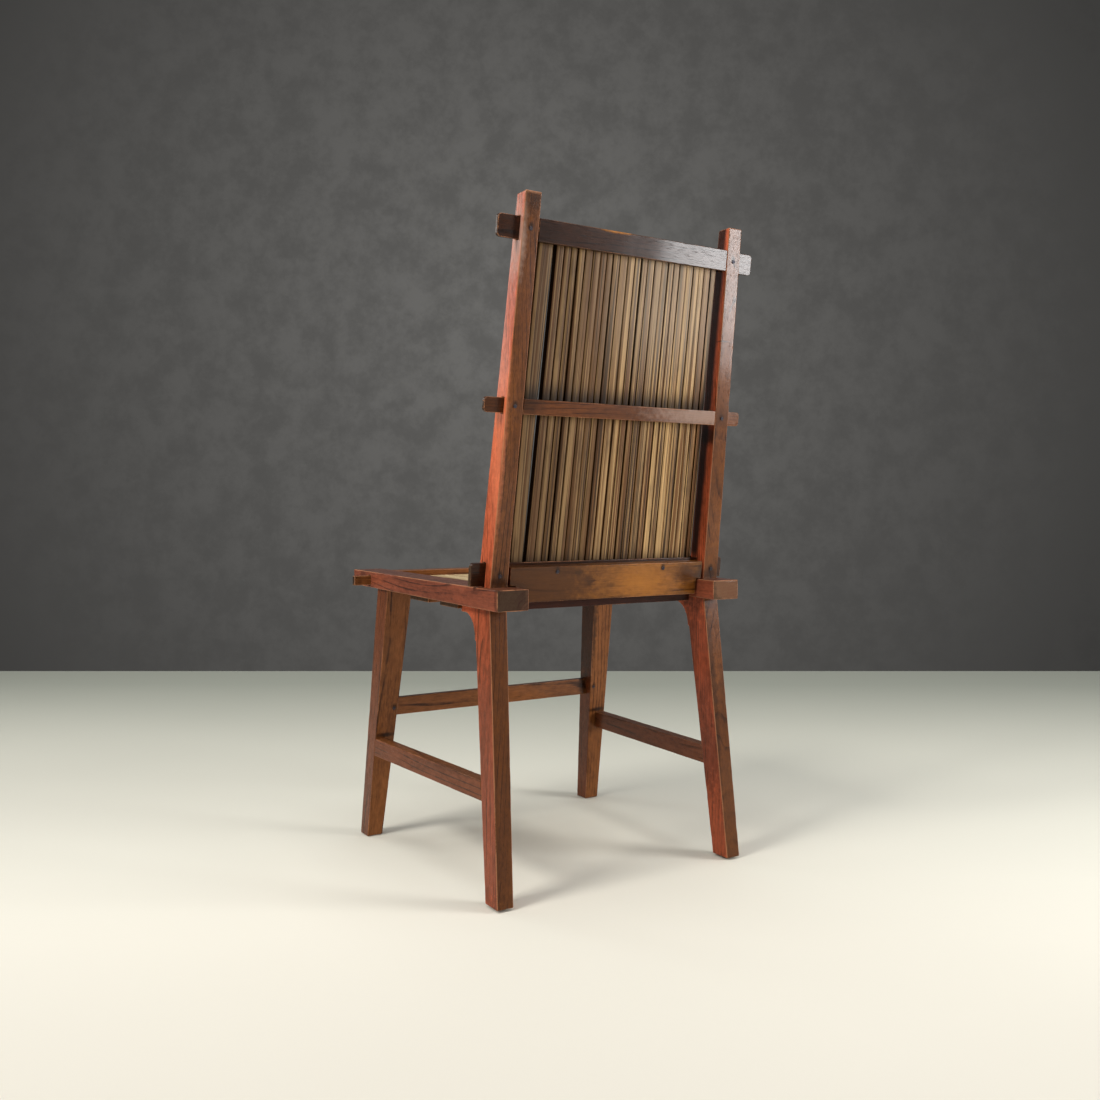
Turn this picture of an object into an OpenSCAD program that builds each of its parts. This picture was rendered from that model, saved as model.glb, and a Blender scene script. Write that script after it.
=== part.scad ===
// Wooden dining chair with a tall raked back and slats of split bamboo in its back and seat.
// The origin is on the floor at the middle of the chair's box. The sitter faces -Y and +Z is up.

/* [Seat frame] */
// Height of a side rail's top edge at its rear end
seat_h = 443.5; // [400:0.5:480]
// How much higher that edge is at the front end
seat_rise = 8.5; // [0:0.5:20]
// Length of a side rail from its front horn to its rear end
side_rail_l = 479.5; // [440:0.5:520]
// Width of a side rail, seen from above
side_rail_w = 51; // [46:0.5:58]
// Height of a side rail's section at the rear end
side_rail_h_rear = 30.5; // [28:0.5:38]
// Height of a side rail's section at the front end
side_rail_h_front = 26; // [25:0.5:34]
// Width over both side rails at their rear ends
seat_w_rear = 436.5; // [400:0.5:470]
// Width over both side rails at their front ends
seat_w_front = 477; // [440:0.5:510]
// Distance from a side rail's front end to the front rail
front_rail_setback = 38; // [20:0.5:50]
// Thickness of the front rail, front to back
front_rail_t = 30; // [24:0.5:34]
// Height of the front rail's section
front_rail_h = 24; // [22:0.5:25]
// How far the front rail's tenons stick out of the side rails
front_tenon_reach = 28; // [5:0.5:40]
// Height of the front rail's tenons
front_tenon_h = 16; // [10:0.5:18]
// Thickness of the front rail's tenons
front_tenon_t = 10; // [8:0.5:14]
// Height of the front rail's tenons above its lower edge
front_tenon_up = 1.5; // [0:0.5:4]
// How far the rear seat rail stands in front of the uprights
rear_rail_lead = 14; // [12:0.5:24]
// How far the rear seat rail hangs below the side rails
rear_rail_drop = 6.5; // [0:0.5:12]
// Length of the rear seat rail's hidden tenons
rear_tenon_l = 20; // [10:0.5:26]
// Thickness of the rear seat rail's hidden tenons
rear_tenon_t = 8; // [6:0.5:9]
// Height of the rear seat rail's hidden tenons
rear_tenon_h = 14; // [8:0.5:16]

/* [Seat bearers] */
// Width of the front bearer
front_bearer_w = 62; // [40:1:90]
// Width of the rear bearer
rear_bearer_w = 56; // [30:1:60]
// Space between the two bearers
bearer_spacing = 38; // [10:1:50]
// How far the bearers hang below the side rails
bearer_drop = 8; // [2:0.5:14]
// Wood of the side rails left outside a bearer's ends
bearer_cover = 10; // [6:0.5:20]
// Space between the rear bearer and the brackets
bearer_bracket_gap = 2; // [1:0.5:10]

/* [Seat slats] */
// Number of slats in the seat
seat_slat_count = 13; // [8:1:13]
// Thickness of a seat slat
seat_slat_t = 6; // [4:0.5:7]
// Depth of the seat's surface below the rails' top edges
seat_drop = 9.5; // [7:0.5:10]
// Depth of the grooves that hold the seat slats' ends
seat_groove_d = 6; // [3:0.5:8]
// Depth of the rebate on top of a seat slat's ends, which slide under the rails' lips
seat_slat_rebate = 1.5; // [0.5:0.25:2.5]
// Space between two seat slats
seat_slat_gap = 1; // [0.5:0.25:3]

/* [Rear uprights] */
// Height of the chair, to the tips of the uprights
chair_h = 990; // [900:1:1060]
// Backward lean of the uprights above the seat, in degrees
back_rake = 8; // [6:0.25:12]
// Inward lean of the uprights' outer faces, in degrees
upright_lean = 1.5; // [0:0.1:2.5]
// Distance from a side rail's rear end to the upright's rear face
upright_setback = 39.5; // [25:0.5:50]
// Distance from a side rail's outer face to the upright's outer face
upright_inset = 12; // [8:0.5:16]
// Width of an upright at its foot
upright_w_foot = 26; // [22:0.5:32]
// Width of an upright at the seat
upright_w_seat = 28.5; // [24:0.5:31]
// Width of an upright at its tip
upright_w_tip = 25.5; // [22:0.5:31]
// Depth of an upright at its foot
upright_d_foot = 35.5; // [28:0.5:42]
// Depth of an upright just below the side rail
upright_d_leg = 46.5; // [40:0.5:50]
// Depth of an upright at the seat
upright_d_seat = 38; // [35:0.5:40]
// Depth of an upright at its tip
upright_d_tip = 25.5; // [24:0.5:34]
// How far an upright's foot is behind its rear face at the seat
rear_leg_kick = 42.5; // [10:0.5:60]
// How far the bracket reaches in front of the leg
bracket_reach = 41; // [30:1:60]
// Depth of the bracket's curve below the side rail
bracket_drop = 50; // [40:1:90]
// Height of the bracket's front end
bracket_nib = 12; // [2:0.5:16]
// Length of the bracket's flat underside behind its front end
bracket_step = 11; // [0:0.5:18]
// How far the lower end of the bracket's curve stands out from the leg
bracket_beak = 3; // [0:0.5:5]

/* [Front legs] */
// Distance from a side rail's front end to the front leg at its top
front_leg_setback = 80.5; // [76:0.5:110]
// Distance from a side rail's outer face to the front leg's outer face
front_leg_inset = 5.5; // [1:0.5:8]
// Outward lean of the front legs' outer faces, in degrees
front_leg_lean = 1; // [0:0.1:3]
// Width of a front leg at its top
front_leg_w_top = 44; // [34:0.5:45.5]
// Width of a front leg at its foot
front_leg_w_foot = 27.5; // [22:0.5:34]
// Depth of a front leg at its top
front_leg_d_top = 42; // [34:0.5:46]
// Depth of a front leg at its foot
front_leg_d_foot = 30.5; // [24:0.5:34]
// How far the front leg's rear face is kicked forward at the foot
front_leg_kick = 69; // [20:0.5:80]
// Length of the tenon at the top of a front leg
front_leg_tenon_l = 15; // [8:0.5:18]
// Width of the tenon at the top of a front leg
front_leg_tenon_w = 17; // [10:0.5:24]
// Depth of the tenon at the top of a front leg
front_leg_tenon_d = 20; // [12:0.5:26]

/* [Stretchers] */
// Height of the side stretchers' lower edges above the floor
side_stretcher_z = 142; // [110:1:180]
// Height of a side stretcher's section
side_stretcher_h = 29; // [20:0.5:36]
// Thickness of a side stretcher
side_stretcher_t = 19; // [14:0.5:22]
// Height of the front stretcher's lower edge above the floor
front_stretcher_z = 206; // [180:1:260]
// Height of the front stretcher's section
front_stretcher_h = 29.5; // [20:0.5:36]
// Thickness of the front stretcher
front_stretcher_t = 14; // [12:0.5:16]
// How far the front stretcher stands in from the front legs' rear faces
front_stretcher_inset = 15; // [12:0.5:16]
// Length of the stretchers' hidden tenons
stretcher_tenon_l = 14; // [8:0.5:16]
// Thickness of the stretchers' hidden tenons
stretcher_tenon_t = 8; // [6:0.5:10]
// Height of the stretchers' hidden tenons
stretcher_tenon_h = 18; // [12:0.5:19]

/* [Rails of the back] */
// Distance along an upright from its tip to the top rail
top_rail_drop = 35; // [20:1:60]
// Height of the top rail's section
top_rail_h = 32; // [26:0.5:40]
// Thickness of the top rail
top_rail_t = 25; // [22:0.5:26]
// Distance along an upright from the seat to the mid rail
mid_rail_up = 246; // [180:1:320]
// Height of the mid rail's section
mid_rail_h = 22; // [18:0.5:30]
// Distance along an upright from the seat to the lower cross rail's top edge
cross_rail_up = 32; // [28:0.5:40]
// How far the lower cross rail reaches below the seat, before it is cut to clear the side rails
cross_rail_down = 4; // [1:0.5:8]
// Thickness of the lower cross rail
cross_rail_t = 17; // [16.5:0.5:18]
// Distance from the uprights' rear faces to the lower cross rail
cross_rail_inset = 19; // [17:0.5:20]
// Distance from the uprights' rear faces to the top rail's and mid rail's tenons
tenon_inset = 10; // [9:0.5:11]
// Thickness of the tenons of the back's rails
tenon_t = 7; // [5:0.5:7]
// Thickness of the lower cross rail's tenons
cross_tenon_t = 8; // [6:0.5:12]
// How far the top rail's tenons stick out of the uprights
top_tenon_reach = 33; // [5:0.5:40]
// How far the mid rail's tenons stick out of the uprights
mid_tenon_reach = 30; // [5:0.5:40]
// How far the lower cross rail's tenons stick out of the uprights
cross_tenon_reach = 22.5; // [5:0.5:34]
// Corner radius of the tenons' free ends
tenon_round = 5.5; // [1:0.5:8]

/* [Back board] */
// Height of the board's top edge, along the uprights from the seat
board_up = 28; // [26:0.5:30]
// How far the board reaches below the seat
board_down = 24.5; // [18:0.5:26]
// Distance from the uprights' rear faces to the board's rear face
board_recess = 1; // [0:0.25:4]
// Space between the board's ends and the uprights and side rails
board_end_gap = 3; // [1:0.25:6]

/* [Slats of the back] */
// Number of slats in the back
back_slat_count = 25; // [16:1:25]
// Thickness of a back slat
back_slat_t = 11; // [8:0.5:11.5]
// Distance from the uprights' rear faces to the slats at their foot
slat_inset_foot = 22.5; // [21.5:0.5:25]
// Distance from the uprights' rear faces to the slats at their top
slat_inset_top = 11; // [10:0.5:12]
// Length of a slat's end inside the groove of a rail
slat_groove_d = 9; // [6:0.5:10]
// Space between two back slats
slat_gap = 0.8; // [0.4:0.1:2]
// Space at the joints that have opened
slat_gap_open = 2.4; // [0.8:0.1:4]
// Space beside the first slat, where one has shrunk
slat_gap_wide = 5.5; // [2:0.5:14]
// Space between the first slat and the left upright
slat_side_gap = 14; // [0.5:0.25:16]
// Space between the last slat and the right upright
slat_far_gap = 11; // [0.5:0.25:16]
// Unevenness of the slats' widths, as a part of the common width
slat_uneven = 0.16; // [0:0.01:0.3]
// Width of the first slat from the left, in common widths
first_slat_share = 1.7; // [0.8:0.05:2.2]
// Width of the last slat, in common widths
last_slat_share = 0.8; // [0.4:0.05:2]

/* [Nails and glides] */
// Radius of a nail's head
nail_head_r = 2.8; // [1.5:0.1:4]
// Height of a nail's head
nail_head_h = 0.8; // [0.4:0.1:2]
// Radius of a nail's shank
nail_r = 1.5; // [1:0.1:1.8]
// Length of the nails in the uprights and front legs
nail_l = 22; // [18:0.5:23]
// Length of the nails in the back board
board_nail_l = 28; // [22:0.5:32]
// Distance from the chair's middle to a board nail
board_nail_x = 97; // [40:1:140]
// Distance from the slats' feet down to a board nail
board_nail_below = 3.5; // [2.5:0.5:8]
// Height of the glides under the rear feet
glide_h = 3; // [1:0.25:6]
// Radius of the glides
glide_r = 7; // [4:0.5:10]

/* [Clearances] */
// Space round a tenon in its mortise
joint_gap = 0.2; // [0.1:0.05:0.4]
// Space round a nail in its hole
nail_gap = 0.1; // [0.05:0.05:0.2]
// Space between the side rails and what passes just above them
rail_clear = 0.5; // [0.3:0.1:1.5]

/* [Hidden] */
function two_digits(n) = n < 10 ? str("0", n) : str(n);
function back_slat_name(n) = str("back_slat_", two_digits(n));
function seat_slat_name(n) = str("seat_slat_", two_digits(n));

$fn = 32;
left = 1;
right = -1;
// Half the size of a cutting block that is larger than the chair
far = 2000;

function mix(a, b, t) = a + (b - a) * t;

// The side rails, by distance from their rear ends
seat_z = seat_h + seat_rise * upright_setback / side_rail_l;
back_lean_y = (chair_h - seat_z) * tan(back_rake);
chair_d = side_rail_l - upright_setback + max(upright_setback, back_lean_y);
rail_front_y = -chair_d / 2;
rail_rear_y = rail_front_y + side_rail_l;
function along(y) = (rail_rear_y - y) / side_rail_l;
function rail_top(y) = seat_h + seat_rise * along(y);
function rail_bottom(y) = rail_top(y) - mix(side_rail_h_rear, side_rail_h_front, along(y));
function rail_outer(y) = mix(seat_w_rear, seat_w_front, along(y)) / 2;
function rail_inner(y) = rail_outer(y) - side_rail_w;
function seat_top(y) = rail_top(y) - seat_drop;
function seat_under(y) = seat_top(y) - seat_slat_t;
function seat_tongue_top(y) = seat_top(y) - seat_slat_rebate;

// The rear uprights, by height
upright_y = rail_rear_y - upright_setback;
neck_y = upright_y - upright_d_seat;
leg_top_z = rail_bottom(upright_y);
tip_y = upright_y + back_lean_y;
function upright_outer(z) = rail_outer(upright_y) - upright_inset + (seat_z - z) * tan(upright_lean);
function upright_width(z) = z > seat_z
    ? mix(upright_w_seat, upright_w_tip, (z - seat_z) / (chair_h - seat_z))
    : mix(upright_w_seat, upright_w_foot, (seat_z - z) / seat_z);
function upright_inner(z) = upright_outer(z) - upright_width(z);
function upright_mid(z) = upright_outer(z) - upright_width(z) / 2;
function leg_rear(z) = upright_y + rear_leg_kick * (leg_top_z - z) / leg_top_z;
function leg_front(z) = leg_rear(z) - mix(upright_d_leg, upright_d_foot, (leg_top_z - z) / leg_top_z);
bracket_y = leg_front(leg_top_z) - bracket_reach;
bracket_z = rail_bottom(bracket_y) - bracket_nib;
bracket_foot_z = leg_top_z - bracket_drop;
rear_bearer_y = bracket_y - bearer_bracket_gap;

// The front legs, by height
front_leg_top_y = rail_front_y + front_leg_setback;
front_leg_rear_top_y = front_leg_top_y + front_leg_d_top;
front_leg_top_z = rail_bottom(front_leg_rear_top_y);
front_leg_x = rail_outer(front_leg_rear_top_y) - front_leg_inset;
function front_leg_down(z) = (front_leg_top_z - z) / front_leg_top_z;
function front_leg_rear(z) = front_leg_rear_top_y - front_leg_kick * front_leg_down(z);
function front_leg_front(z) = front_leg_rear(z) - mix(front_leg_d_top, front_leg_d_foot, front_leg_down(z));
function front_leg_outer(z) = front_leg_x + (front_leg_top_z - z) * tan(front_leg_lean);
function front_leg_inner(z) =
    front_leg_outer(z) - mix(front_leg_w_top, front_leg_w_foot, front_leg_down(z));
function front_leg_mid(z) = (front_leg_outer(z) + front_leg_inner(z)) / 2;
front_leg_rake = atan(front_leg_kick / front_leg_top_z);

// The raked back: up is the distance along an upright's rear face from the seat,
// and inset is the distance in front of that face
back_l = (chair_h - seat_z) / cos(back_rake);
function back_z(up, inset) = seat_z + up * cos(back_rake) + inset * sin(back_rake);
function back_y(up, inset) = upright_y + up * sin(back_rake) - inset * cos(back_rake);
function back_up(z, inset) = (z - seat_z - inset * sin(back_rake)) / cos(back_rake);
function back_y_at(z, inset) = back_y(back_up(z, inset), inset);
top_rail_up = back_l - top_rail_drop - top_rail_h;
slat_foot_up = cross_rail_up - slat_groove_d;
slat_top_up = top_rail_up + slat_groove_d;
function slat_inset(up) =
    mix(slat_inset_foot, slat_inset_top, (up - slat_foot_up) / (slat_top_up - slat_foot_up));
slat_tilt = back_rake + atan((slat_inset_foot - slat_inset_top) / (slat_top_up - slat_foot_up));
slat_foot_z = back_z(slat_foot_up, slat_inset_foot);
slat_l = (back_z(slat_top_up, slat_inset_top) - slat_foot_z) / cos(slat_tilt);

// Widths and gaps of the back slats, counted from the left upright
slat_wave_step = 78;
slat_wave_start = 300;
function slat_weight(n) =
    n == 1 ? first_slat_share
    : n == back_slat_count ? last_slat_share
    : 1 + slat_uneven * sin(slat_wave_step * n + slat_wave_start);
function slat_gap_after(n) = n == 1 ? slat_gap_wide : n == 4 || n == 9 || n == 13 ? slat_gap_open : slat_gap;
function weight_to(n) = n < 1 ? 0 : weight_to(n - 1) + slat_weight(n);
function gaps_to(n) = n < 1 ? 0 : gaps_to(n - 1) + slat_gap_after(n);
slat_weight_sum = weight_to(back_slat_count);
slat_gap_sum = gaps_to(back_slat_count - 1);
function slat_unit(z) =
    (2 * upright_inner(z) - slat_side_gap - slat_far_gap - slat_gap_sum) / slat_weight_sum;
function slat_left(n, z) =
    upright_inner(z) - slat_side_gap - weight_to(n - 1) * slat_unit(z) - gaps_to(n - 1);
function slat_right(n, z) = slat_left(n, z) - slat_weight(n) * slat_unit(z);

// The seat slats run from the front rail to the rear seat rail
front_rail_y = rail_front_y + front_rail_setback + front_rail_t;
rear_rail_y = neck_y - rear_rail_lead;
seat_front_y = front_rail_y - seat_groove_d;
seat_rear_y = rear_rail_y + seat_groove_d;
function seat_pitch(y) = (2 * rail_inner(y) - seat_slat_gap) / seat_slat_count;
function seat_slat_x(n, y) = rail_inner(y) - seat_slat_gap - (n - 1) * seat_pitch(y);

// A side view, drawn as [y, z], is extruded along X from x0 to x1
module along_x(x0, x1) {
    translate([x0, 0, 0]) rotate([90, 0, 90]) linear_extrude(x1 - x0) children();
}

// A front view, drawn as [x, z], is extruded along Y from y0 to y1
module along_y(y0, y1) {
    translate([0, y1, 0]) rotate([90, 0, 0]) linear_extrude(y1 - y0) children();
}

// A plan, drawn as [x, y], is extruded along Z over the whole height
module plan() {
    translate([0, 0, -far]) linear_extrude(2 * far) children();
}

// A block between two corners
module block(a, b) {
    translate(a) cube(b - a);
}

// The children on the left side, or mirrored to the right
module on_side(side) {
    if (side == left) children();
    else mirror([1, 0, 0]) children();
}

// Coordinates of the raked back: x, minus the inset, and the distance up from the seat
module in_back() {
    translate([0, upright_y, seat_z]) rotate([-back_rake, 0, 0]) children();
}

// A slab of the raked back, from one inset to another and from one height to another
module back_slab(half_w, inset0, inset1, up0, up1) {
    in_back() block([-half_w, -inset1, up0], [half_w, -inset0, up1]);
}

// The space between the uprights' inner faces, over the height of the back
module between_uprights() {
    low = seat_h - side_rail_h_rear;
    along_y(-far, far) polygon([
        [-upright_inner(low), low],
        [upright_inner(low), low],
        [upright_inner(seat_z), seat_z],
        [upright_inner(chair_h), chair_h],
        [-upright_inner(chair_h), chair_h],
        [-upright_inner(seat_z), seat_z]
    ]);
}

// Everything above a line that runs just over the side rails' top edges
module above_side_rails(clear) {
    along_x(-far, far) polygon([
        [rail_front_y, rail_top(rail_front_y) + clear],
        [rail_rear_y, rail_top(rail_rear_y) + clear],
        [rail_rear_y, far],
        [rail_front_y, far]
    ]);
}

// The flat plane of the back slats with a clearance all round: it cuts the grooves of the rails
module slat_plane(clear) {
    in_slats() block(
        [-far, -back_slat_t - clear, -clear],
        [far, clear, slat_l + clear]
    );
}

// Coordinates of the slats: x, minus the thickness, and the distance from their feet
module in_slats() {
    translate([0, back_y(slat_foot_up, slat_inset_foot), slat_foot_z]) rotate([-slat_tilt, 0, 0]) children();
}

// A tenon right through both uprights, with rounded free ends, or its mortises when it has a clearance
module through_tenon(half_w, inset0, inset1, up0, up1, clear) {
    x = half_w + clear;
    r = tenon_round;
    in_back() translate([0, clear - inset0, 0]) rotate([90, 0, 0]) linear_extrude(inset1 - inset0 + 2 * clear) {
        translate([-x, up0 - clear + r]) square([2 * x, up1 - up0 + 2 * (clear - r)]);
        translate([r - x, up0 - clear]) square([2 * (x - r), up1 - up0 + 2 * clear]);
        for (sx = [-1, 1]) for (up = [up0 - clear + r, up1 + clear - r])
            translate([sx * (x - r), up]) circle(r);
    }
}

module top_rail_tenon(clear) {
    up = top_rail_up;
    half_w = upright_outer(back_z(up + top_rail_h / 2, tenon_inset)) + top_tenon_reach;
    through_tenon(half_w, tenon_inset, tenon_inset + tenon_t, up, up + top_rail_h, clear);
}

module mid_rail_tenon(clear) {
    up = mid_rail_up;
    half_w = upright_outer(back_z(up + mid_rail_h / 2, tenon_inset)) + mid_tenon_reach;
    inset = min(tenon_inset + tenon_t, slat_inset(up + mid_rail_h));
    through_tenon(half_w, inset - tenon_t, inset, up, up + mid_rail_h, clear);
}

module cross_rail_tenon(clear) {
    half_w = upright_outer(back_z(cross_rail_up / 2, cross_rail_inset)) + cross_tenon_reach;
    intersection() {
        through_tenon(
            half_w, cross_rail_inset, cross_rail_inset + cross_tenon_t,
            -cross_rail_down, cross_rail_up, clear
        );
        above_side_rails(rail_clear - clear);
    }
}

// A nail driven forward from the origin, or its hole when it has a clearance
module nail(l, clear) {
    rotate([90, 0, 0]) translate([0, 0, -clear]) cylinder(h = l + 2 * clear, r = nail_r + clear);
    if (clear == 0) rotate([-90, 0, 0]) cylinder(h = nail_head_h, r = nail_head_r);
}

// One nail pins each through tenon at the middle of the upright
module upright_nail_set(clear) {
    for (up = [top_rail_up + top_rail_h / 2, mid_rail_up + mid_rail_h / 2, cross_rail_up / 2])
        for (side = [left, right])
            on_side(side) in_back() translate([upright_mid(back_z(up, 0)), 0, up]) nail(nail_l, clear);
}

module board_nail_set(clear) {
    for (side = [left, right])
        on_side(side) in_back() translate([board_nail_x, -board_recess, slat_foot_up - board_nail_below])
            nail(board_nail_l, clear);
}

// The nails sit square on the raked rear faces of the front legs
module stretcher_nail_set(clear) {
    z = front_stretcher_z + front_stretcher_h / 2;
    for (side = [left, right])
        on_side(side) translate([front_leg_inner(z) + stretcher_tenon_l / 2, front_leg_rear(z), z])
            rotate([-front_leg_rake, 0, 0]) nail(nail_l, clear);
}

// The neck of an upright inside the side rail, or its mortise when it has a clearance
module upright_neck(clear) {
    z0 = rail_bottom(upright_y) - side_rail_h_rear / 2;
    z1 = rail_top(upright_y) + side_rail_h_rear / 2;
    along_y(neck_y - clear, upright_y + clear) polygon([
        [upright_inner(z0) - clear, z0],
        [upright_outer(z0) + clear, z0],
        [upright_outer(z1) + clear, z1],
        [upright_inner(z1) - clear, z1]
    ]);
}

module rear_upright(side) {
    beak_z = bracket_foot_z + bracket_beak;
    beak_y = leg_front(beak_z) - bracket_beak;
    bracket_curve = [
        for (a = [0:7.5:90]) [
            mix(bracket_y + bracket_step, beak_y, sin(a)),
            mix(beak_z, bracket_z, cos(a))
        ]
    ];
    color("sienna") difference() {
        on_side(side) intersection() {
            along_x(0, far) polygon(concat(
                [
                    [leg_rear(glide_h), glide_h],
                    [upright_y, leg_top_z],
                    [upright_y, seat_z],
                    [tip_y, chair_h],
                    [tip_y - upright_d_tip, chair_h],
                    [neck_y, rail_top(neck_y)],
                    [neck_y, rail_bottom(neck_y)],
                    [bracket_y, rail_bottom(bracket_y)],
                    [bracket_y, bracket_z]
                ],
                bracket_curve,
                [[leg_front(bracket_foot_z), bracket_foot_z], [leg_front(glide_h), glide_h]]
            ));
            along_y(-far, far) polygon([
                [upright_outer(0), 0],
                [upright_outer(chair_h), chair_h],
                [upright_inner(chair_h), chair_h],
                [upright_inner(seat_z), seat_z],
                [upright_inner(0), 0]
            ]);
        }
        top_rail_tenon(joint_gap);
        mid_rail_tenon(joint_gap);
        cross_rail_tenon(joint_gap);
        upright_nail_set(nail_gap);
        side_stretcher_tenons(side, joint_gap);
    }
}

module front_leg_tenon(clear) {
    y = front_leg_rear_top_y - front_leg_d_top / 2;
    x = front_leg_mid(front_leg_top_z);
    w = front_leg_tenon_w / 2 + clear;
    d = front_leg_tenon_d / 2 + clear;
    block([x - w, y - d, front_leg_top_z - front_leg_tenon_l / 2],
          [x + w, y + d, rail_bottom(y) + front_leg_tenon_l + clear]);
}

module front_leg(side) {
    top = rail_bottom(front_leg_top_y);
    color("sienna") difference() {
        on_side(side) {
            intersection() {
                along_x(0, far) polygon([
                    [front_leg_rear(0), 0],
                    [front_leg_rear_top_y, front_leg_top_z],
                    [front_leg_top_y, top],
                    [front_leg_front(0), 0]
                ]);
                along_y(-far, far) polygon([
                    [front_leg_outer(0), 0],
                    [front_leg_outer(top), top],
                    [front_leg_inner(top), top],
                    [front_leg_inner(0), 0]
                ]);
            }
            front_leg_tenon(0);
        }
        side_stretcher_tenons(side, joint_gap);
        front_stretcher_tenon(joint_gap);
        stretcher_nail_set(nail_gap);
    }
}

// A bearer's section hangs below the side rails and its top carries the seat slats
module bearer(front_y, rear_y, cover) {
    intersection() {
        along_x(-far, far) polygon([
            [front_y, rail_bottom(front_y) - bearer_drop],
            [rear_y, rail_bottom(rear_y) - bearer_drop],
            [rear_y, seat_under(rear_y)],
            [front_y, seat_under(front_y)]
        ]);
        plan() polygon([
            [rail_outer(front_y) - cover, front_y],
            [rail_outer(rear_y) - cover, rear_y],
            [cover - rail_outer(rear_y), rear_y],
            [cover - rail_outer(front_y), front_y]
        ]);
    }
}

module front_bearer(clear) {
    y = rear_bearer_y - rear_bearer_w - bearer_spacing;
    bearer(y - front_bearer_w - clear, y + clear, bearer_cover - clear);
}

module rear_bearer(clear) {
    y = rear_bearer_y;
    bearer(y - rear_bearer_w - clear, y + clear, bearer_cover - clear);
}

module front_rail_tenon(clear) {
    y = front_rail_y;
    z = rail_top(y) - front_rail_h + front_tenon_up;
    x = rail_outer(y) + front_tenon_reach + clear;
    block([-x, y - front_tenon_t - clear, z - clear], [x, y + clear, z + front_tenon_h + clear]);
}

module rear_rail_tenon(clear) {
    y = neck_y - rear_rail_lead + rear_tenon_t;
    z = (rail_top(y) + rail_bottom(y) - rear_tenon_h) / 2;
    x = rail_inner(y) + rear_tenon_l + clear;
    block([-x, y - rear_tenon_t - clear, z - clear], [x, y + clear, z + rear_tenon_h + clear]);
}

// The slats' rebated ends with a clearance all round: they cut the grooves of the seat rails
module seat_grooves(clear) {
    y0 = seat_front_y - clear;
    y1 = seat_rear_y + clear;
    intersection() {
        along_x(-far, far) polygon([
            [y0, seat_under(y0) - clear],
            [y1, seat_under(y1) - clear],
            [y1, seat_tongue_top(y1) + clear],
            [y0, seat_tongue_top(y0) + clear]
        ]);
        between_side_rails(y0, y1);
    }
}

module between_side_rails(y0, y1) {
    plan() polygon([
        [rail_inner(y0), y0],
        [rail_inner(y1), y1],
        [-rail_inner(y1), y1],
        [-rail_inner(y0), y0]
    ]);
}

module side_rail(side) {
    y0 = rail_front_y;
    y1 = rail_rear_y;
    color("indianred") difference() {
        on_side(side) intersection() {
            along_x(0, far) polygon([
                [y0, rail_bottom(y0)],
                [y1, rail_bottom(y1)],
                [y1, rail_top(y1)],
                [y0, rail_top(y0)]
            ]);
            plan() polygon([
                [rail_outer(y0), y0],
                [rail_outer(y1), y1],
                [rail_inner(y1), y1],
                [rail_inner(y0), y0]
            ]);
        }
        on_side(side) upright_neck(joint_gap);
        on_side(side) front_leg_tenon(joint_gap);
        front_rail_tenon(joint_gap);
        rear_rail_tenon(joint_gap);
        front_bearer(joint_gap);
        rear_bearer(joint_gap);
    }
}

module front_seat_rail() {
    y0 = front_rail_y - front_rail_t;
    y1 = front_rail_y;
    color("saddlebrown") difference() {
        union() {
            intersection() {
                along_x(-far, far) polygon([
                    [y0, rail_top(y0) - front_rail_h],
                    [y1, rail_top(y1) - front_rail_h],
                    [y1, rail_top(y1)],
                    [y0, rail_top(y0)]
                ]);
                between_side_rails(y0, y1);
            }
            front_rail_tenon(0);
        }
        seat_grooves(joint_gap);
    }
}

// The rear seat rail's rear face follows the board's rake
module rear_seat_rail() {
    y0 = rear_rail_y;
    top_y = back_y_at(seat_z, cross_rail_inset);
    low_y = back_y_at(rail_bottom(top_y) - rear_rail_drop, cross_rail_inset);
    color("saddlebrown") difference() {
        union() {
            intersection() {
                along_x(-far, far) polygon([
                    [y0, rail_bottom(y0) - rear_rail_drop],
                    [low_y, rail_bottom(low_y) - rear_rail_drop],
                    [top_y, rail_top(top_y)],
                    [y0, rail_top(y0)]
                ]);
                between_side_rails(y0, top_y);
            }
            rear_rail_tenon(0);
        }
        seat_grooves(joint_gap);
    }
}

module seat_bearer_front() {
    color("sienna") front_bearer(0);
}

module seat_bearer_rear() {
    color("sienna") rear_bearer(0);
}

// Plan line of a side stretcher: its outer face is flush with both legs at mid height
side_stretcher_mid_z = side_stretcher_z + side_stretcher_h / 2;
side_stretcher_y0 = front_leg_rear(side_stretcher_mid_z);
side_stretcher_y1 = leg_front(side_stretcher_mid_z);
function side_stretcher_outer(y) = mix(
    front_leg_outer(side_stretcher_mid_z),
    upright_outer(side_stretcher_mid_z),
    (y - side_stretcher_y0) / (side_stretcher_y1 - side_stretcher_y0)
);

module side_stretcher_tenons(side, clear) {
    z = side_stretcher_mid_z - stretcher_tenon_h / 2 - clear;
    t = stretcher_tenon_t / 2 + clear;
    l = stretcher_tenon_l;
    for (y = [side_stretcher_y0, side_stretcher_y1]) {
        x = side_stretcher_outer(y) - side_stretcher_t / 2;
        on_side(side) block([x - t, y - l - clear, z], [x + t, y + l + clear, z + stretcher_tenon_h + 2 * clear]);
    }
}

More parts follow.
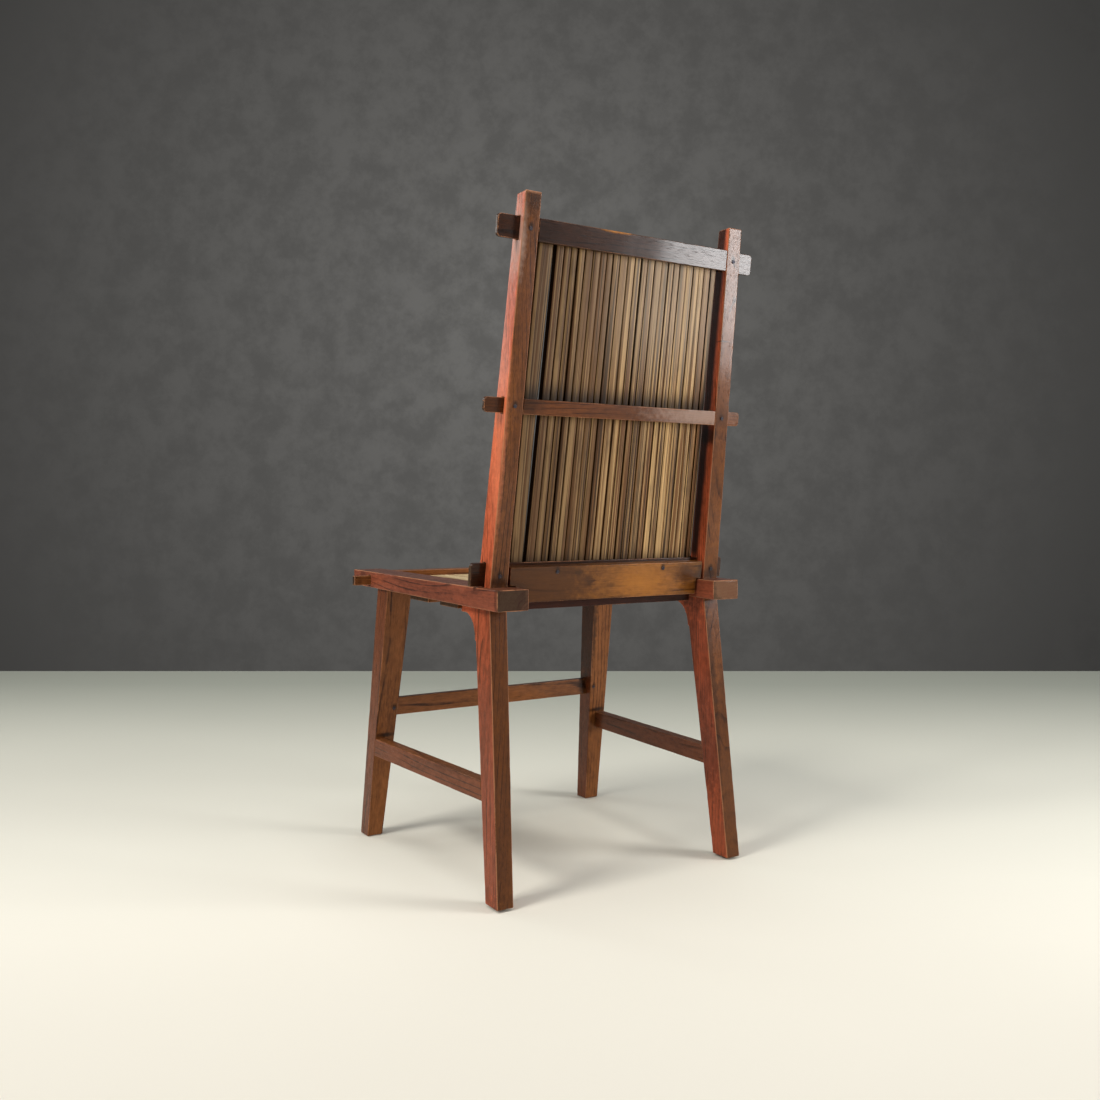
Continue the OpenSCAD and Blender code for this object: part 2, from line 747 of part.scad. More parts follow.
module side_stretcher(side) {
    z0 = side_stretcher_z;
    z1 = side_stretcher_z + side_stretcher_h;
    y0 = front_leg_rear(z1) - side_stretcher_h;
    y1 = leg_front(z0) + side_stretcher_h;
    t = side_stretcher_t;
    color("sienna") {
        on_side(side) intersection() {
            along_x(0, far) polygon([
                [front_leg_rear(z0), z0],
                [leg_front(z0), z0],
                [leg_front(z1), z1],
                [front_leg_rear(z1), z1]
            ]);
            plan() polygon([
                [side_stretcher_outer(y0), y0],
                [side_stretcher_outer(y1), y1],
                [side_stretcher_outer(y1) - t, y1],
                [side_stretcher_outer(y0) - t, y0]
            ]);
        }
        side_stretcher_tenons(side, 0);
    }
}

module front_stretcher_tenon(clear) {
    z = front_stretcher_z + front_stretcher_h / 2;
    y = front_leg_rear(z) - front_stretcher_inset - front_stretcher_t / 2;
    x = front_leg_inner(z) + stretcher_tenon_l + clear;
    t = stretcher_tenon_t / 2 + clear;
    h = stretcher_tenon_h / 2 + clear;
    block([-x, y - t, z - h], [x, y + t, z + h]);
}

module front_stretcher() {
    z0 = front_stretcher_z;
    z1 = z0 + front_stretcher_h;
    y = front_leg_rear((z0 + z1) / 2) - front_stretcher_inset;
    color("sienna") difference() {
        union() {
            along_y(y - front_stretcher_t, y) polygon([
                [-front_leg_inner(z0), z0],
                [front_leg_inner(z0), z0],
                [front_leg_inner(z1), z1],
                [-front_leg_inner(z1), z1]
            ]);
            front_stretcher_tenon(0);
        }
        stretcher_nail_set(nail_gap);
    }
}

module top_rail() {
    up = top_rail_up;
    color("sienna") difference() {
        union() {
            intersection() {
                back_slab(far, 0, top_rail_t, up, up + top_rail_h);
                between_uprights();
            }
            top_rail_tenon(0);
        }
        intersection() {
            slat_plane(joint_gap);
            between_uprights();
        }
        upright_nail_set(nail_gap);
    }
}

// The mid rail's front face lies against the slats
module mid_rail() {
    up0 = mid_rail_up;
    up1 = up0 + mid_rail_h;
    color("sienna") difference() {
        union() {
            intersection() {
                in_back() along_x(-far, far) polygon([
                    [0, up0],
                    [0, up1],
                    [-slat_inset(up1), up1],
                    [-slat_inset(up0), up0]
                ]);
                between_uprights();
            }
            mid_rail_tenon(0);
        }
        upright_nail_set(nail_gap);
    }
}

module lower_cross_rail() {
    color("sienna") difference() {
        union() {
            intersection() {
                back_slab(far, cross_rail_inset, cross_rail_inset + cross_rail_t, -cross_rail_down, cross_rail_up);
                between_uprights();
                above_side_rails(rail_clear);
            }
            cross_rail_tenon(0);
        }
        intersection() {
            slat_plane(joint_gap);
            between_uprights();
        }
        upright_nail_set(nail_gap);
        board_nail_set(nail_gap);
    }
}

// The board's lower part drops between the side rails, and its upper part lies between the uprights
module back_board() {
    low = -board_down;
    top = board_up;
    notch_y = back_y(0, cross_rail_inset);
    notch_z = rail_top(notch_y) + rail_clear;
    wide = min(upright_inner(seat_z), upright_inner(back_z(top, 0))) - board_end_gap;
    narrow = rail_inner(upright_y) - board_end_gap;
    color("peru") difference() {
        intersection() {
            back_slab(far, board_recess, cross_rail_inset, low, top);
            along_y(-far, far) polygon([
                [-narrow, 0],
                [narrow, 0],
                [narrow, notch_z],
                [wide, notch_z],
                [wide, far],
                [-wide, far],
                [-wide, notch_z],
                [-narrow, notch_z]
            ]);
        }
        board_nail_set(nail_gap);
    }
}

module back_slat(n) {
    top_z = slat_foot_z + slat_l * cos(slat_tilt);
    color("tan") in_slats() rotate([90, 0, 0]) linear_extrude(back_slat_t) polygon([
        [slat_left(n, slat_foot_z), 0],
        [slat_left(n, top_z), slat_l],
        [slat_right(n, top_z), slat_l],
        [slat_right(n, slat_foot_z), 0]
    ]);
}

module seat_slat(n) {
    y0 = seat_front_y;
    y1 = seat_rear_y;
    shoulder0 = front_rail_y + joint_gap;
    shoulder1 = rear_rail_y - joint_gap;
    color("wheat") intersection() {
        along_x(-far, far) polygon([
            [y0, seat_under(y0)],
            [y1, seat_under(y1)],
            [y1, seat_tongue_top(y1)],
            [shoulder1, seat_tongue_top(shoulder1)],
            [shoulder1, seat_top(shoulder1)],
            [shoulder0, seat_top(shoulder0)],
            [shoulder0, seat_tongue_top(shoulder0)],
            [y0, seat_tongue_top(y0)]
        ]);
        plan() polygon([
            [seat_slat_x(n, y0), y0],
            [seat_slat_x(n, y1), y1],
            [seat_slat_x(n + 1, y1) + seat_slat_gap, y1],
            [seat_slat_x(n + 1, y0) + seat_slat_gap, y0]
        ]);
    }
}

module upright_nails() {
    color("dimgray") upright_nail_set(0);
}

module board_nails() {
    color("dimgray") board_nail_set(0);
}

module stretcher_nails() {
    color("dimgray") stretcher_nail_set(0);
}

module foot_glides() {
    y = (leg_rear(glide_h) + leg_front(glide_h)) / 2;
    color("dimgray") for (side = [left, right])
        translate([side * upright_mid(glide_h), y, 0]) cylinder(h = glide_h, r = glide_r);
}

rear_upright(left);  // rear_upright_left
rear_upright(right);  // rear_upright_right
front_leg(left);  // front_leg_left
front_leg(right);  // front_leg_right
side_rail(left);  // side_rail_left
side_rail(right);  // side_rail_right
front_seat_rail();
rear_seat_rail();
seat_bearer_front();
seat_bearer_rear();
side_stretcher(left);  // side_stretcher_left
side_stretcher(right);  // side_stretcher_right
front_stretcher();
top_rail();
mid_rail();
lower_cross_rail();
back_board();
upright_nails();
board_nails();
stretcher_nails();
foot_glides();
for (n = [1:back_slat_count]) back_slat(n);
for (n = [1:seat_slat_count]) seat_slat(n);
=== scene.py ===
import math

import bmesh
import bpy
from bpy.props import FloatProperty, FloatVectorProperty, IntProperty, PointerProperty
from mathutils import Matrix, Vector, noise


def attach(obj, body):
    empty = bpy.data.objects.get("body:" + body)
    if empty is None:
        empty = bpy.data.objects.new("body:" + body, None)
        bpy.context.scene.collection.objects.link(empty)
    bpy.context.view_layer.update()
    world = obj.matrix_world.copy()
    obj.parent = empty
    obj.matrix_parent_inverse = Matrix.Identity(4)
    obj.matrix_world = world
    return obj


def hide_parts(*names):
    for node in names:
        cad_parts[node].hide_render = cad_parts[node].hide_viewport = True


bl_info = {
    "name": "Bamboo slat chair",
    "version": (1, 0, 0),
    "blender": (4, 5, 0),
    "location": "3D View > Sidebar > Chair",
    "description": "Worn timber, split bamboo and iron of a dining chair, built around its frame",
    "category": "Object",
}

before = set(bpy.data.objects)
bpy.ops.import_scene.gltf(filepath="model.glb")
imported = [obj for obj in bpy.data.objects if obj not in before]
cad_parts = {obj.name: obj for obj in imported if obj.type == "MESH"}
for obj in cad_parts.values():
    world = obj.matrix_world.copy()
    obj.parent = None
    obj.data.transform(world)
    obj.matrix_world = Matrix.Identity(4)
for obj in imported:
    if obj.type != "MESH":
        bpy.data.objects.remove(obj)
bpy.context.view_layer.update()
MM = 0.001
X_AXIS = Vector((1, 0, 0))
Y_AXIS = Vector((0, 1, 0))
Z_AXIS = Vector((0, 0, 1))

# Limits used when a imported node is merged, eased and shaded
MERGE_DISTANCE = 1e-7
FLAT_ANGLE = math.radians(0.5)
ARRIS_ANGLE = math.radians(30)
SHADE_ANGLE = math.radians(40)
SHORTEST_ARRIS = 0.5 * MM
# Shares of the tip rounding at which a worn end is cut into rings
TIP_RINGS = (0.12, 0.35, 0.65, 1.0)
# How far apart the hollows of the hand plane lie, and the knocks along an edge
HOLLOW_SPACING, KNOCK_SPACING = 0.05, 0.011
# How far off its tree's pith a timber is cut, and how that varies
PITH_NEAR, PITH_STEP = 0.045, 0.02
# Width and wandering of a slat's ridges, and how strongly it leans to one side
RIDGE_WIDTH, RIDGE_SWAY, SLAT_TILT = 0.0045, 0.15, 0.4
# How steeply a slat falls off at its edges, and how narrow the joint beside it is
CROWN_POWER, JOINT_POWER = 4, 10
# How far apart slats lie in the bamboo's patterns, across and through
STRIP_STEPS = (0.37, 0.11)
# How far back the chair's back leans for each unit of height
BACK_LEAN = 0.165


def paint(red, green, blue):
    """A colour as a screen shows it, 0 to 255, in the linear values that Blender works in."""
    shares = (value / 255 for value in (red, green, blue))
    return tuple(s / 12.92 if s <= 0.04045 else ((s + 0.055) / 1.055) ** 2.4 for s in shares)


def size_prop(name, description, millimetres, low, high):
    """A length that the sidebar shows with its unit."""
    return FloatProperty(
        name=name, description=description, default=millimetres * MM,
        min=low * MM, max=high * MM, unit="LENGTH", precision=5,
    )


def colour_prop(name, description, red, green, blue):
    """A colour swatch of the sidebar."""
    return FloatVectorProperty(
        name=name, description=description, subtype="COLOR", size=3,
        default=paint(red, green, blue), min=0, max=1,
    )


class ChairSizes(bpy.types.PropertyGroup):
    """Sizes of the wear and of the bamboo that a user would change."""

    arris: size_prop("Arris", "Width of the eased edges of the timber", 1.3, 0.3, 3)
    ear_arris: size_prop("Ear arris", "Width of the smaller timbers' eased edges", 1.1, 0.3, 2)
    nicks: size_prop("Nicks", "Depth of the dents along the worn edges", 0.9, 0, 2)
    waver: size_prop("Waver", "Depth of the hollows left by the hand plane", 0.35, 0, 1)
    station: size_prop("Station", "Distance between the cuts that let a face waver", 12, 5, 40)
    tip_round: size_prop("Tip rounding", "How far the tips of legs and posts are worn", 2.6, 0, 6)
    back_crown: size_prop("Back crown", "How much thinner a back slat is at its edges", 1.0, 0, 2.5)
    ridge: size_prop("Ridge", "Height of the ridges along a slat", 0.5, 0, 1)
    sunk: size_prop("Sunk", "How far a back slat may lie under its neighbours", 1.6, 0, 3)
    bow: size_prop("Bow", "How far the first slat bends towards its upright", 1.6, 0, 6)
    flare: size_prop("Flare", "How much wider the first slat grows towards its top", 5.0, 0, 8)
    slat_columns: IntProperty(
        name="Slat columns", description="Faces across a slat", default=16, min=6, max=40
    )
    slat_rows: IntProperty(
        name="Slat rows", description="Faces along a slat", default=36, min=8, max=120
    )


class ChairColours(bpy.types.PropertyGroup):
    """Colours of the chair and its stage."""

    post_light: colour_prop("Post light", "Light wood of the uprights", 124, 72, 32)
    post_dark: colour_prop("Post dark", "Dark grain of the uprights", 58, 30, 13)
    # Partly painted light: the uprights' sides keep their redder tone, but are coloured far
    # brighter than their rear faces, as the lamp lights them
    post_red: colour_prop("Post sides", "Red side faces of the uprights", 232, 112, 72)
    leg_light: colour_prop("Leg light", "Light wood of the legs and stretchers", 144, 88, 46)
    leg_dark: colour_prop("Leg dark", "Dark grain of the legs and stretchers", 64, 35, 18)
    leg_red: colour_prop("Leg sides", "Red side faces of the legs and stretchers", 122, 64, 37)
    rail_light: colour_prop("Rail light", "Light wood of the side rails", 134, 82, 56)
    rail_dark: colour_prop("Rail dark", "Dark grain of the side rails", 66, 35, 26)
    rail_red: colour_prop("Rail sides", "Red side faces of the side rails", 146, 77, 54)
    dark_light: colour_prop("Back rail light", "Light wood of the back's rails", 66, 35, 17)
    dark_dark: colour_prop("Back rail dark", "Dark grain of the back's rails", 34, 18, 10)
    mid_light: colour_prop("Mid rail light", "Light wood of the mid rail", 120, 68, 32)
    mid_dark: colour_prop("Mid rail dark", "Dark grain of the mid rail", 60, 32, 16)
    # Painted shade: the rail under the back board is coloured far darker than the other timbers, as
    # it looks in its shade
    hidden_light: colour_prop("Hidden light", "Light wood under the back board", 62, 27, 16)
    hidden_dark: colour_prop("Hidden dark", "Dark grain under the back board", 28, 13, 9)
    board_light: colour_prop("Board light", "Light wood of the back board", 148, 92, 36)
    board_dark: colour_prop("Board dark", "Dark grain of the back board", 66, 36, 14)
    end_grain: colour_prop("End grain", "Sawn ends of the timbers", 88, 66, 46)
    worn: colour_prop("Worn edge", "Wood laid bare along the worn edges", 176, 122, 88)
    # Real rubbed gold on the top rail, and on the back board a painted sheen standing in for the
    # lamps' reflection
    gilt_and_sheen: colour_prop("Rubbed spot", "Finish rubbed to gold", 190, 120, 42)
    # Also painted shade: this dark colour lays painted shade and shadows in corners, under rails,
    # beside the slats and in their joints, besides real stains
    grime_and_shade: colour_prop("Grime", "Dirt in the corners and stains", 22, 13, 9)
    # A painted highlight: the lamp-lit shine on the left upright's side
    flush: colour_prop("Flush", "Bleached middle of the left upright", 255, 150, 105)
    # A grey stain on the left post top, and a painted sheen on the mid rail's right, where it
    # stands in for the lamp's reflection
    grey_stain_and_sheen: colour_prop("Haze", "Greyed mid rail and left post top", 176, 150, 136)
    bamboo_light: colour_prop("Bamboo light", "Light fibres of the back slats", 190, 154, 106)
    bamboo_brown: colour_prop("Bamboo brown", "Brown fibres of the back slats", 120, 82, 44)
    bamboo_red: colour_prop("Bamboo red", "Reddish slats of the back", 130, 84, 54)
    bamboo_gold: colour_prop("Bamboo gold", "Golden fibres of the back slats", 140, 98, 52)
    # A painted sheen: the lamp's reflection on the slats at the upper right
    upper_right_sheen: colour_prop("Bamboo faded", "Bleached fibres at the upper right", 226, 206, 182)
    bamboo_dark: colour_prop("Bamboo dark", "Dark fibres of the back slats", 50, 34, 19)
    straw_light: colour_prop("Straw light", "Light fibres of the seat slats", 206, 190, 150)
    straw_dark: colour_prop("Straw dark", "Dark fibres of the seat slats", 140, 116, 78)
    iron: colour_prop("Iron", "Nails and glides", 44, 46, 54)
    rust: colour_prop("Rust", "Rust on the nails and glides", 74, 50, 40)
    floor: colour_prop("Floor", "Plain pale floor", 238, 234, 220)
    floor_near: colour_prop("Floor near", "The same floor towards the camera", 220, 215, 202)
    floor_far: colour_prop("Floor far", "The same floor towards the backdrop", 168, 171, 158)
    wall: colour_prop("Wall", "Plain backdrop", 84, 83, 81)


def sizes():
    return bpy.context.scene.chair_sizes


def colours():
    return bpy.context.scene.chair_colours


# Meshes


def node_mesh(name):
    """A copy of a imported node, with its loose triangles merged into flat faces."""
    bm = bmesh.new()
    bm.from_mesh(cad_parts[name].data)
    bmesh.ops.remove_doubles(bm, verts=bm.verts, dist=MERGE_DISTANCE)
    bmesh.ops.dissolve_limit(
        bm, angle_limit=FLAT_ANGLE, use_dissolve_boundaries=False,
        verts=bm.verts, edges=bm.edges, delimit=set(),
    )
    return bm


def cut_across(bm, place, axis):
    """Cuts every face along the plane across an axis at one place on it."""
    bmesh.ops.bisect_plane(
        bm, geom=bm.verts[:] + bm.edges[:] + bm.faces[:], dist=MERGE_DISTANCE,
        plane_co=axis * place, plane_no=axis,
    )


def long_side(bm):
    """The axis along which the mesh is longest."""
    reach = [
        max(v.co[k] for v in bm.verts) - min(v.co[k] for v in bm.verts) for k in range(3)
    ]
    return (X_AXIS, Y_AXIS, Z_AXIS)[reach.index(max(reach))]


def grain_frame(bm):
    """Origin and three directions of a piece of timber: across, through and along its grain."""
    side = long_side(bm)
    places = sorted(v.co.dot(side) for v in bm.verts)
    low, high = places[0], places[-1]
    near = (high - low) * 0.1
    ends = []
    for place in (low, high):
        at = [v.co for v in bm.verts if abs(v.co.dot(side) - place) < near]
        ends.append(sum(at, Vector()) / len(at))
    along = (ends[1] - ends[0]).normalized()
    helper = X_AXIS if side is not X_AXIS else Y_AXIS
    through = along.cross(helper).normalized()
    return ends[0], through.cross(along), through, along


def ease_arrises(bm, width):
    """Rounds the convex sharp edges. The new faces are marked in a face layer."""
    mark = bm.faces.layers.float.new("eased")
    sharp = [
        e for e in bm.edges
        if e.is_manifold and e.is_convex and e.calc_face_angle(0) > ARRIS_ANGLE
        and e.calc_length() > SHORTEST_ARRIS
    ]
    made = bmesh.ops.bevel(
        bm, geom=sharp, offset=width, offset_type="OFFSET", segments=3, profile=0.5,
        affect="EDGES", clamp_overlap=False, material=-1,
    )
    for face in made["faces"]:
        face[mark] = 1


def round_ends(bm, radius, low, high):
    """Wears level ends round: the rings near them are drawn in towards the timber's middle."""
    places = [v.co.z for v in bm.verts]
    for end, way, wanted in ((min(places), 1, low), (max(places), -1, high)):
        if not wanted:
            continue
        for share in TIP_RINGS:
            cut_across(bm, end + way * radius * share, Z_AXIS)
        near = [v for v in bm.verts if abs(v.co.z - end) < radius]
        middle = sum((v.co for v in near), Vector()) / len(near)
        for v in near:
            left = 1 - abs(v.co.z - end) / radius
            inward = Vector((middle.x - v.co.x, middle.y - v.co.y, 0))
            v.co += inward.normalized() * radius * (1 - math.sqrt(max(0.0, 1 - left * left)))


def slice_across(bm, axis, spacing):
    """Cuts every face at even steps along an axis."""
    places = [v.co.dot(axis) for v in bm.verts]
    low, high = min(places), max(places)
    count = max(1, round((high - low) / spacing))
    for k in range(1, count):
        cut_across(bm, low + (high - low) * k / count, axis)


def write_timber_space(bm, grain, seed):
    """Keeps each point's place in its own piece of timber, off the pith of its own tree."""
    layer = bm.verts.layers.float_vector.new("timber")
    origin, across, through, along = grain
    turn = 2.4 * seed
    pith = Vector((math.cos(turn), math.sin(turn), 0)) * (PITH_NEAR + PITH_STEP * (seed % 3))
    shift = pith + Vector((0, 0, 1.7 * seed))
    for v in bm.verts:
        offset = v.co - origin
        v[layer] = Vector((offset.dot(across), offset.dot(through), offset.dot(along))) + shift


def wear_down(bm, seed):
    """Hollows the faces a little and dents the eased edges."""
    mark = bm.faces.layers.float["eased"]
    bm.normal_update()
    wander = Vector((seed * 3.1, seed * 1.7, seed * 0.9))
    for v in bm.verts:
        worn = sum(f[mark] for f in v.link_faces) / len(v.link_faces)
        slow = 0.5 + 0.5 * noise.noise(v.co / HOLLOW_SPACING + wander)
        knock = max(0.0, noise.noise(v.co / KNOCK_SPACING + wander)) ** 1.5
        v.co -= v.normal * (sizes().waver * slow + sizes().nicks * worn * knock)


def mark_sawn_ends(bm, along):
    """Keeps how squarely each face cuts the grain, for the end grain's finish."""
    layer = bm.faces.layers.float.new("sawn")
    for face in bm.faces:
        face[layer] = abs(face.normal.dot(along))


def shade_by_angle(bm):
    for face in bm.faces:
        face.smooth = True
    for edge in bm.edges:
        edge.smooth = edge.is_manifold and edge.calc_face_angle(0) < SHADE_ANGLE


def link_object(name, data):
    made = bpy.data.objects.new(name, data)
    bpy.context.scene.collection.objects.link(made)
    return made


def link_mesh(name, bm, material):
    """An object of a working mesh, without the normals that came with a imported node."""
    mesh = bpy.data.meshes.new(name)
    bm.to_mesh(mesh)
    bm.free()
    if "custom_normal" in mesh.attributes:
        mesh.attributes.remove(mesh.attributes["custom_normal"])
    mesh.materials.append(material)
    return link_object(name, mesh)


def add_piece(bm, name, material, slot, *nodes):
    """Makes the object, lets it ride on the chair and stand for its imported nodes."""
    shade_by_angle(bm)
    piece = link_mesh(name, bm, material)
    flat = piece.modifiers.new("Flat faces", "WEIGHTED_NORMAL")
    flat.keep_sharp = True
    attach(piece, "root")
    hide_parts(*nodes)
    return piece


def add_timber(name, material, slot, arris, seed, round_low=False, round_high=False):
    """A packed timber with eased and worn edges, faces that waver and, where asked, round ends."""
    bm = node_mesh(name)
    grain = grain_frame(bm)
    ease_arrises(bm, arris)
    for axis in (X_AXIS, Y_AXIS, Z_AXIS):
        slice_across(bm, axis, sizes().station)
    round_ends(bm, sizes().tip_round, round_low, round_high)
    write_timber_space(bm, grain, seed)
    wear_down(bm, seed)
    mark_sawn_ends(bm, grain[3])
    return add_piece(bm, name + "_timber", material, slot, name)


def add_pair(name, material, seed, *ends):
    """The left and the right one of two larger timbers of the frame."""
    for k, side in enumerate(("left", "right")):
        add_timber(f"{name}_{side}", material, "frame_wood", sizes().arris, seed + k, *ends)


def add_row(seed, *rows):
    """Smaller timbers of the frame, each given as its name and its material."""
    for k, (name, material) in enumerate(rows):
        add_timber(name, material, "frame_wood", sizes().ear_arris, seed + k)


# Slats


def ends_of_slat(name, axis, up):
    """Eight corners of a slat: [end][face][edge], low end, far face and low edge first."""
    bm = node_mesh(name)
    across = axis.cross(up)
    points = sorted((v.co.copy() for v in bm.verts), key=lambda p: p.dot(axis))
    bm.free()
    corners = []
    for end in (points[:4], points[-4:]):
        faces = sorted(end, key=lambda p: p.dot(up))
        corners.append(
            [sorted(face, key=lambda p: p.dot(across)) for face in (faces[:2], faces[2:])]
        )
    return corners


def slat_blank():
    """A block from -1 to 1 with the rows and columns of a slat."""
    bm = bmesh.new()
    bmesh.ops.create_cube(bm, size=2)
    columns, rows = sizes().slat_columns, sizes().slat_rows
    for axis, count in ((X_AXIS, columns), (Y_AXIS, 2), (Z_AXIS, rows)):
        for k in range(1, count):
            cut_across(bm, 2 * k / count - 1, axis)
    return bm


def add_slat(blank, name, corners, material, slot, seed, bow=0, flare=0):
    """A strip of split bamboo, crowned and ridged behind, that may bow and widen upwards."""
    bm = blank.copy()
    timber = bm.verts.layers.float_vector.new("timber")
    strip = bm.verts.layers.float.new("strip")
    edge = bm.verts.layers.float.new("edge")
    low, high = corners
    thick = (low[1][0] - low[0][0]).length
    length = (high[0][0] - low[0][0]).length
    wide = (low[0][1] - low[0][0]).length
    tilt = SLAT_TILT * noise.noise(Vector((seed * 7.7, 3.3, 0.5)))
    sunk = 0 if bow else sizes().sunk * (0.5 + 0.5 * math.sin(2.4 * seed * seed))

    def trim(across, along):
        """How far the rear face lies under the solid's face."""
        sway = RIDGE_SWAY * noise.noise(Vector((seed * 5.3, 0, along * 0.8)))
        drift = across * wide / RIDGE_WIDTH + sway
        ridges = 0.5 + 0.5 * noise.noise(Vector((drift, seed * 2.9, along * 0.1)))
        lean = 0.5 + 0.5 * across * (1 if tilt > 0 else -1)
        crown = sizes().back_crown * (abs(across) ** CROWN_POWER + abs(tilt) * lean)
        return crown + sizes().ridge * ridges + sunk

    for v in bm.verts:
        across, face, along = v.co
        steps = Vector((seed * STRIP_STEPS[0], seed * STRIP_STEPS[1], 0))
        v[timber] = Vector((across * wide / 2, face * thick / 2, along * length / 2)) + steps
        v[strip] = seed
        v[edge] = abs(across) ** JOINT_POWER
        depth = max(0.0, face) * trim(across, along)
        s, t = 0.5 + 0.5 * across, 0.5 + 0.5 * along
        edges = [[low[f][e].lerp(high[f][e], t) for e in (0, 1)] for f in (0, 1)]
        level = 0.5 + 0.5 * face - depth / thick
        v.co = edges[0][0].lerp(edges[0][1], s).lerp(edges[1][0].lerp(edges[1][1], s), level)
        v.co.x += bow * (1 - along * along) + flare * t * (1 - s)
    bmesh.ops.recalc_face_normals(bm, faces=bm.faces)
    return add_piece(bm, name + "_strip", material, slot, name)


def numbered(prefix):
    return sorted(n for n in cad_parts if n.startswith(prefix))


# Finishes

# Noises of the wood: squeeze along the grain, fineness, detail, roughness
NOISES = {
    "sway": (0.16, 11, 2, 0.5),
    "tremble": (0.08, 130, 2, 0.5),
    "broken rings": (0.3, 40, 2, 0.5),
    "streaks": (0.03, 700, 4, 0.6),
    "pores": (0.05, 1300, 1, 0.4),
    "clouds": (0.22, 24, 4, 0.6),
    "mottle": (0.5, 150, 4, 0.65),
    "edge wear": (0.25, 60, 3, 0.6),
    "fibre": (0.015, 800, 3, 0.6),
    "patches": (0.2, 60, 3, 0.6),
}
# Noises that aren't drawn out: fineness, detail, roughness
EDGE_GRIT = (700, 2)
MARK_NOISE = (130, 4, 0.6)
RUST_NOISE = (420, 4)
HAMMER_NOISE = (900, 3)
FLOOR_NOISE = (1.3, 2)
WALL_NOISE = (9, 7, 0.7)
# Limits of the noises between which each layer of the grain sets in
GRAIN_LIMITS = {
    "Streaks": (0.34, 0.66), "Pores": (0.58, 0.7), "Clouds": (0.34, 0.66), "Mottle": (0.36, 0.64),
}
# How much each layer of the grain darkens the timber, and how deep it cuts into it
GRAIN_SHADES = {"Streaks": 0.22, "Clouds": 0.32, "Mottle": 0.22, "Rings": 0.75}
GRAIN_DEPTHS = {"Pores": -1.0, "Rings": -0.6, "Streaks": -0.4}
GRAIN_BUMP = 0.3
RELIEF = 0.5 * MM
# Growth rings: how far they sway, where their dark part starts and ends, where they break off
RING_SWAY = {"sway": 0.05, "tremble": 0.0016}
LATE_WOOD = (0.72, 0.94)
EARLY_WOOD = (1.0, 0.96)
RING_BREAKS = (0.4, 0.65, 0.15, 1)
# Wear at which an edge turns bare, and how ragged a mark's rim is
BARE_LEVEL = (0.85, 1.15)
MARK_RAG = 0.7
# Limits of a face's normal: to the side, upwards, and along the grain of a sawn end
SIDE_FACING = (0.6, 0.9)
TOP_FACING = (0.7, 0.95)
SAWN_FACING = (0.8, 0.95)
# How strongly side faces, top faces, pores and bare edges take their own colours
SIDE_TINT, TOP_TINT, PORE_TINT, BARE_TINT = 0.9, 0.4, 0.4, 0.65
PORE_SHADE = 0.35
# How much rougher mottled wood is, and bare or sawn wood, and what gloss is left on dry wood
MOTTLE_ROUGH, BARE_ROUGH, DRY_GLOSS = 0.12, 0.2, 0.3
TIMBER_SPECULAR = 0.08
# Heights between which the finish turns from dull to polished, and the dull share
HANDLED = (0.42, 0.6, 0.35, 1)
# The painted shade in the corner beside the slats: off the middle, behind the lean, height and its
# strength
CORNER_ASIDE = (0.19, 0.184)
CORNER_DEPTH = (0.093, 0.084)
CORNER_HEIGHT = (0.47, 0.49, 0, 0.93)
# Limits and strength of a bamboo strip's dark fibres and patches
FIBRE_DARK = (0.4, 0.7, 0, 0.35)
PATCH_DARK = (0.5, 0.75, 0, 0.5)
# How strongly a strip takes the red and the dark of its own draw
STRIP_RED, STRIP_DARK = 0.55, 0.3
# The joint beside a strip: where it starts, its painted shade and how much that varies
JOINT_EDGE = (0.2, 0.7)
JOINT_SHADE, JOINT_OWN = 0.55, 0.4
FIBRE_ROUGH, JOINT_ROUGH = 0.15, 0.5
BAMBOO_ROUGHNESS, BAMBOO_SPECULAR, BAMBOO_BUMP = 0.42, 0.18, 0.35
BAND_RAG = 0.05
# Stripes of the bamboo: shift through the noise, fineness, limits and strength
STRIPE_SQUEEZE = 0.007
STRIPES = {
    "light": (0, 210, 0.46, 0.55, 1.0),
    "gold": (12.3, 160, 0.5, 0.57, 0.6),
    "dark": (3.1, 280, 0.54, 0.59, 0.9),
    "pale": (7.7, 300, 0.55, 0.6, 0.85),
}
PALE_STRIPE = 1.4
# Limits of the rust, and how metallic, rough and hammered the iron is
RUST_LIMITS = (0.45, 0.7)
IRON_METAL, IRON_ROUGH, IRON_BUMP = 0.85, (0.45, 0.8), 0.5
# Reach in mm, core and strength of the stain round a nail
NAIL_STAIN = ((6, 9, 8), 0.2, 0.75)
# Where a painted sheen lies on the back's bamboo, across and upwards, and where it lies in painted
# shade
SHEEN_ACROSS = (0.12, -0.06)
SHEEN_UP = (0.7, 0.86, 0, 0.28)
SHADED_ACROSS = (-0.1, 0.15)
SHADOW = 0.3


def add_node(tree, kind, inputs=None, **settings):
    """A shader node. An input is a value, or a socket that is linked to it."""
    made = tree.nodes.new(kind)
    for key, value in settings.items():
        setattr(made, key, value)
    for key, value in (inputs or {}).items():
        if isinstance(value, bpy.types.NodeSocket):
            tree.links.new(value, made.inputs[key])
        else:
            made.inputs[key].default_value = value
    return made


def maths(tree, operation, a, b=0.0, clamp=False):
    made = add_node(tree, "ShaderNodeMath", {0: a, 1: b}, operation=operation, use_clamp=clamp)
    return made.outputs[0]


def times(tree, a, b):
    return maths(tree, "MULTIPLY", a, b)


def weighted_sum(tree, start, *pairs, clamp=False):
    """A start plus values times their weights, held between 0 and 1 where asked."""
    total = start
    for value, weight in pairs:
        total = maths(tree, "ADD", total, times(tree, value, weight), clamp)
    return total


def vector_maths(tree, operation, a, b=None, output=0):
    given = {0: a} if b is None else {0: a, 1: b}
    return add_node(tree, "ShaderNodeVectorMath", given, operation=operation).outputs[output]


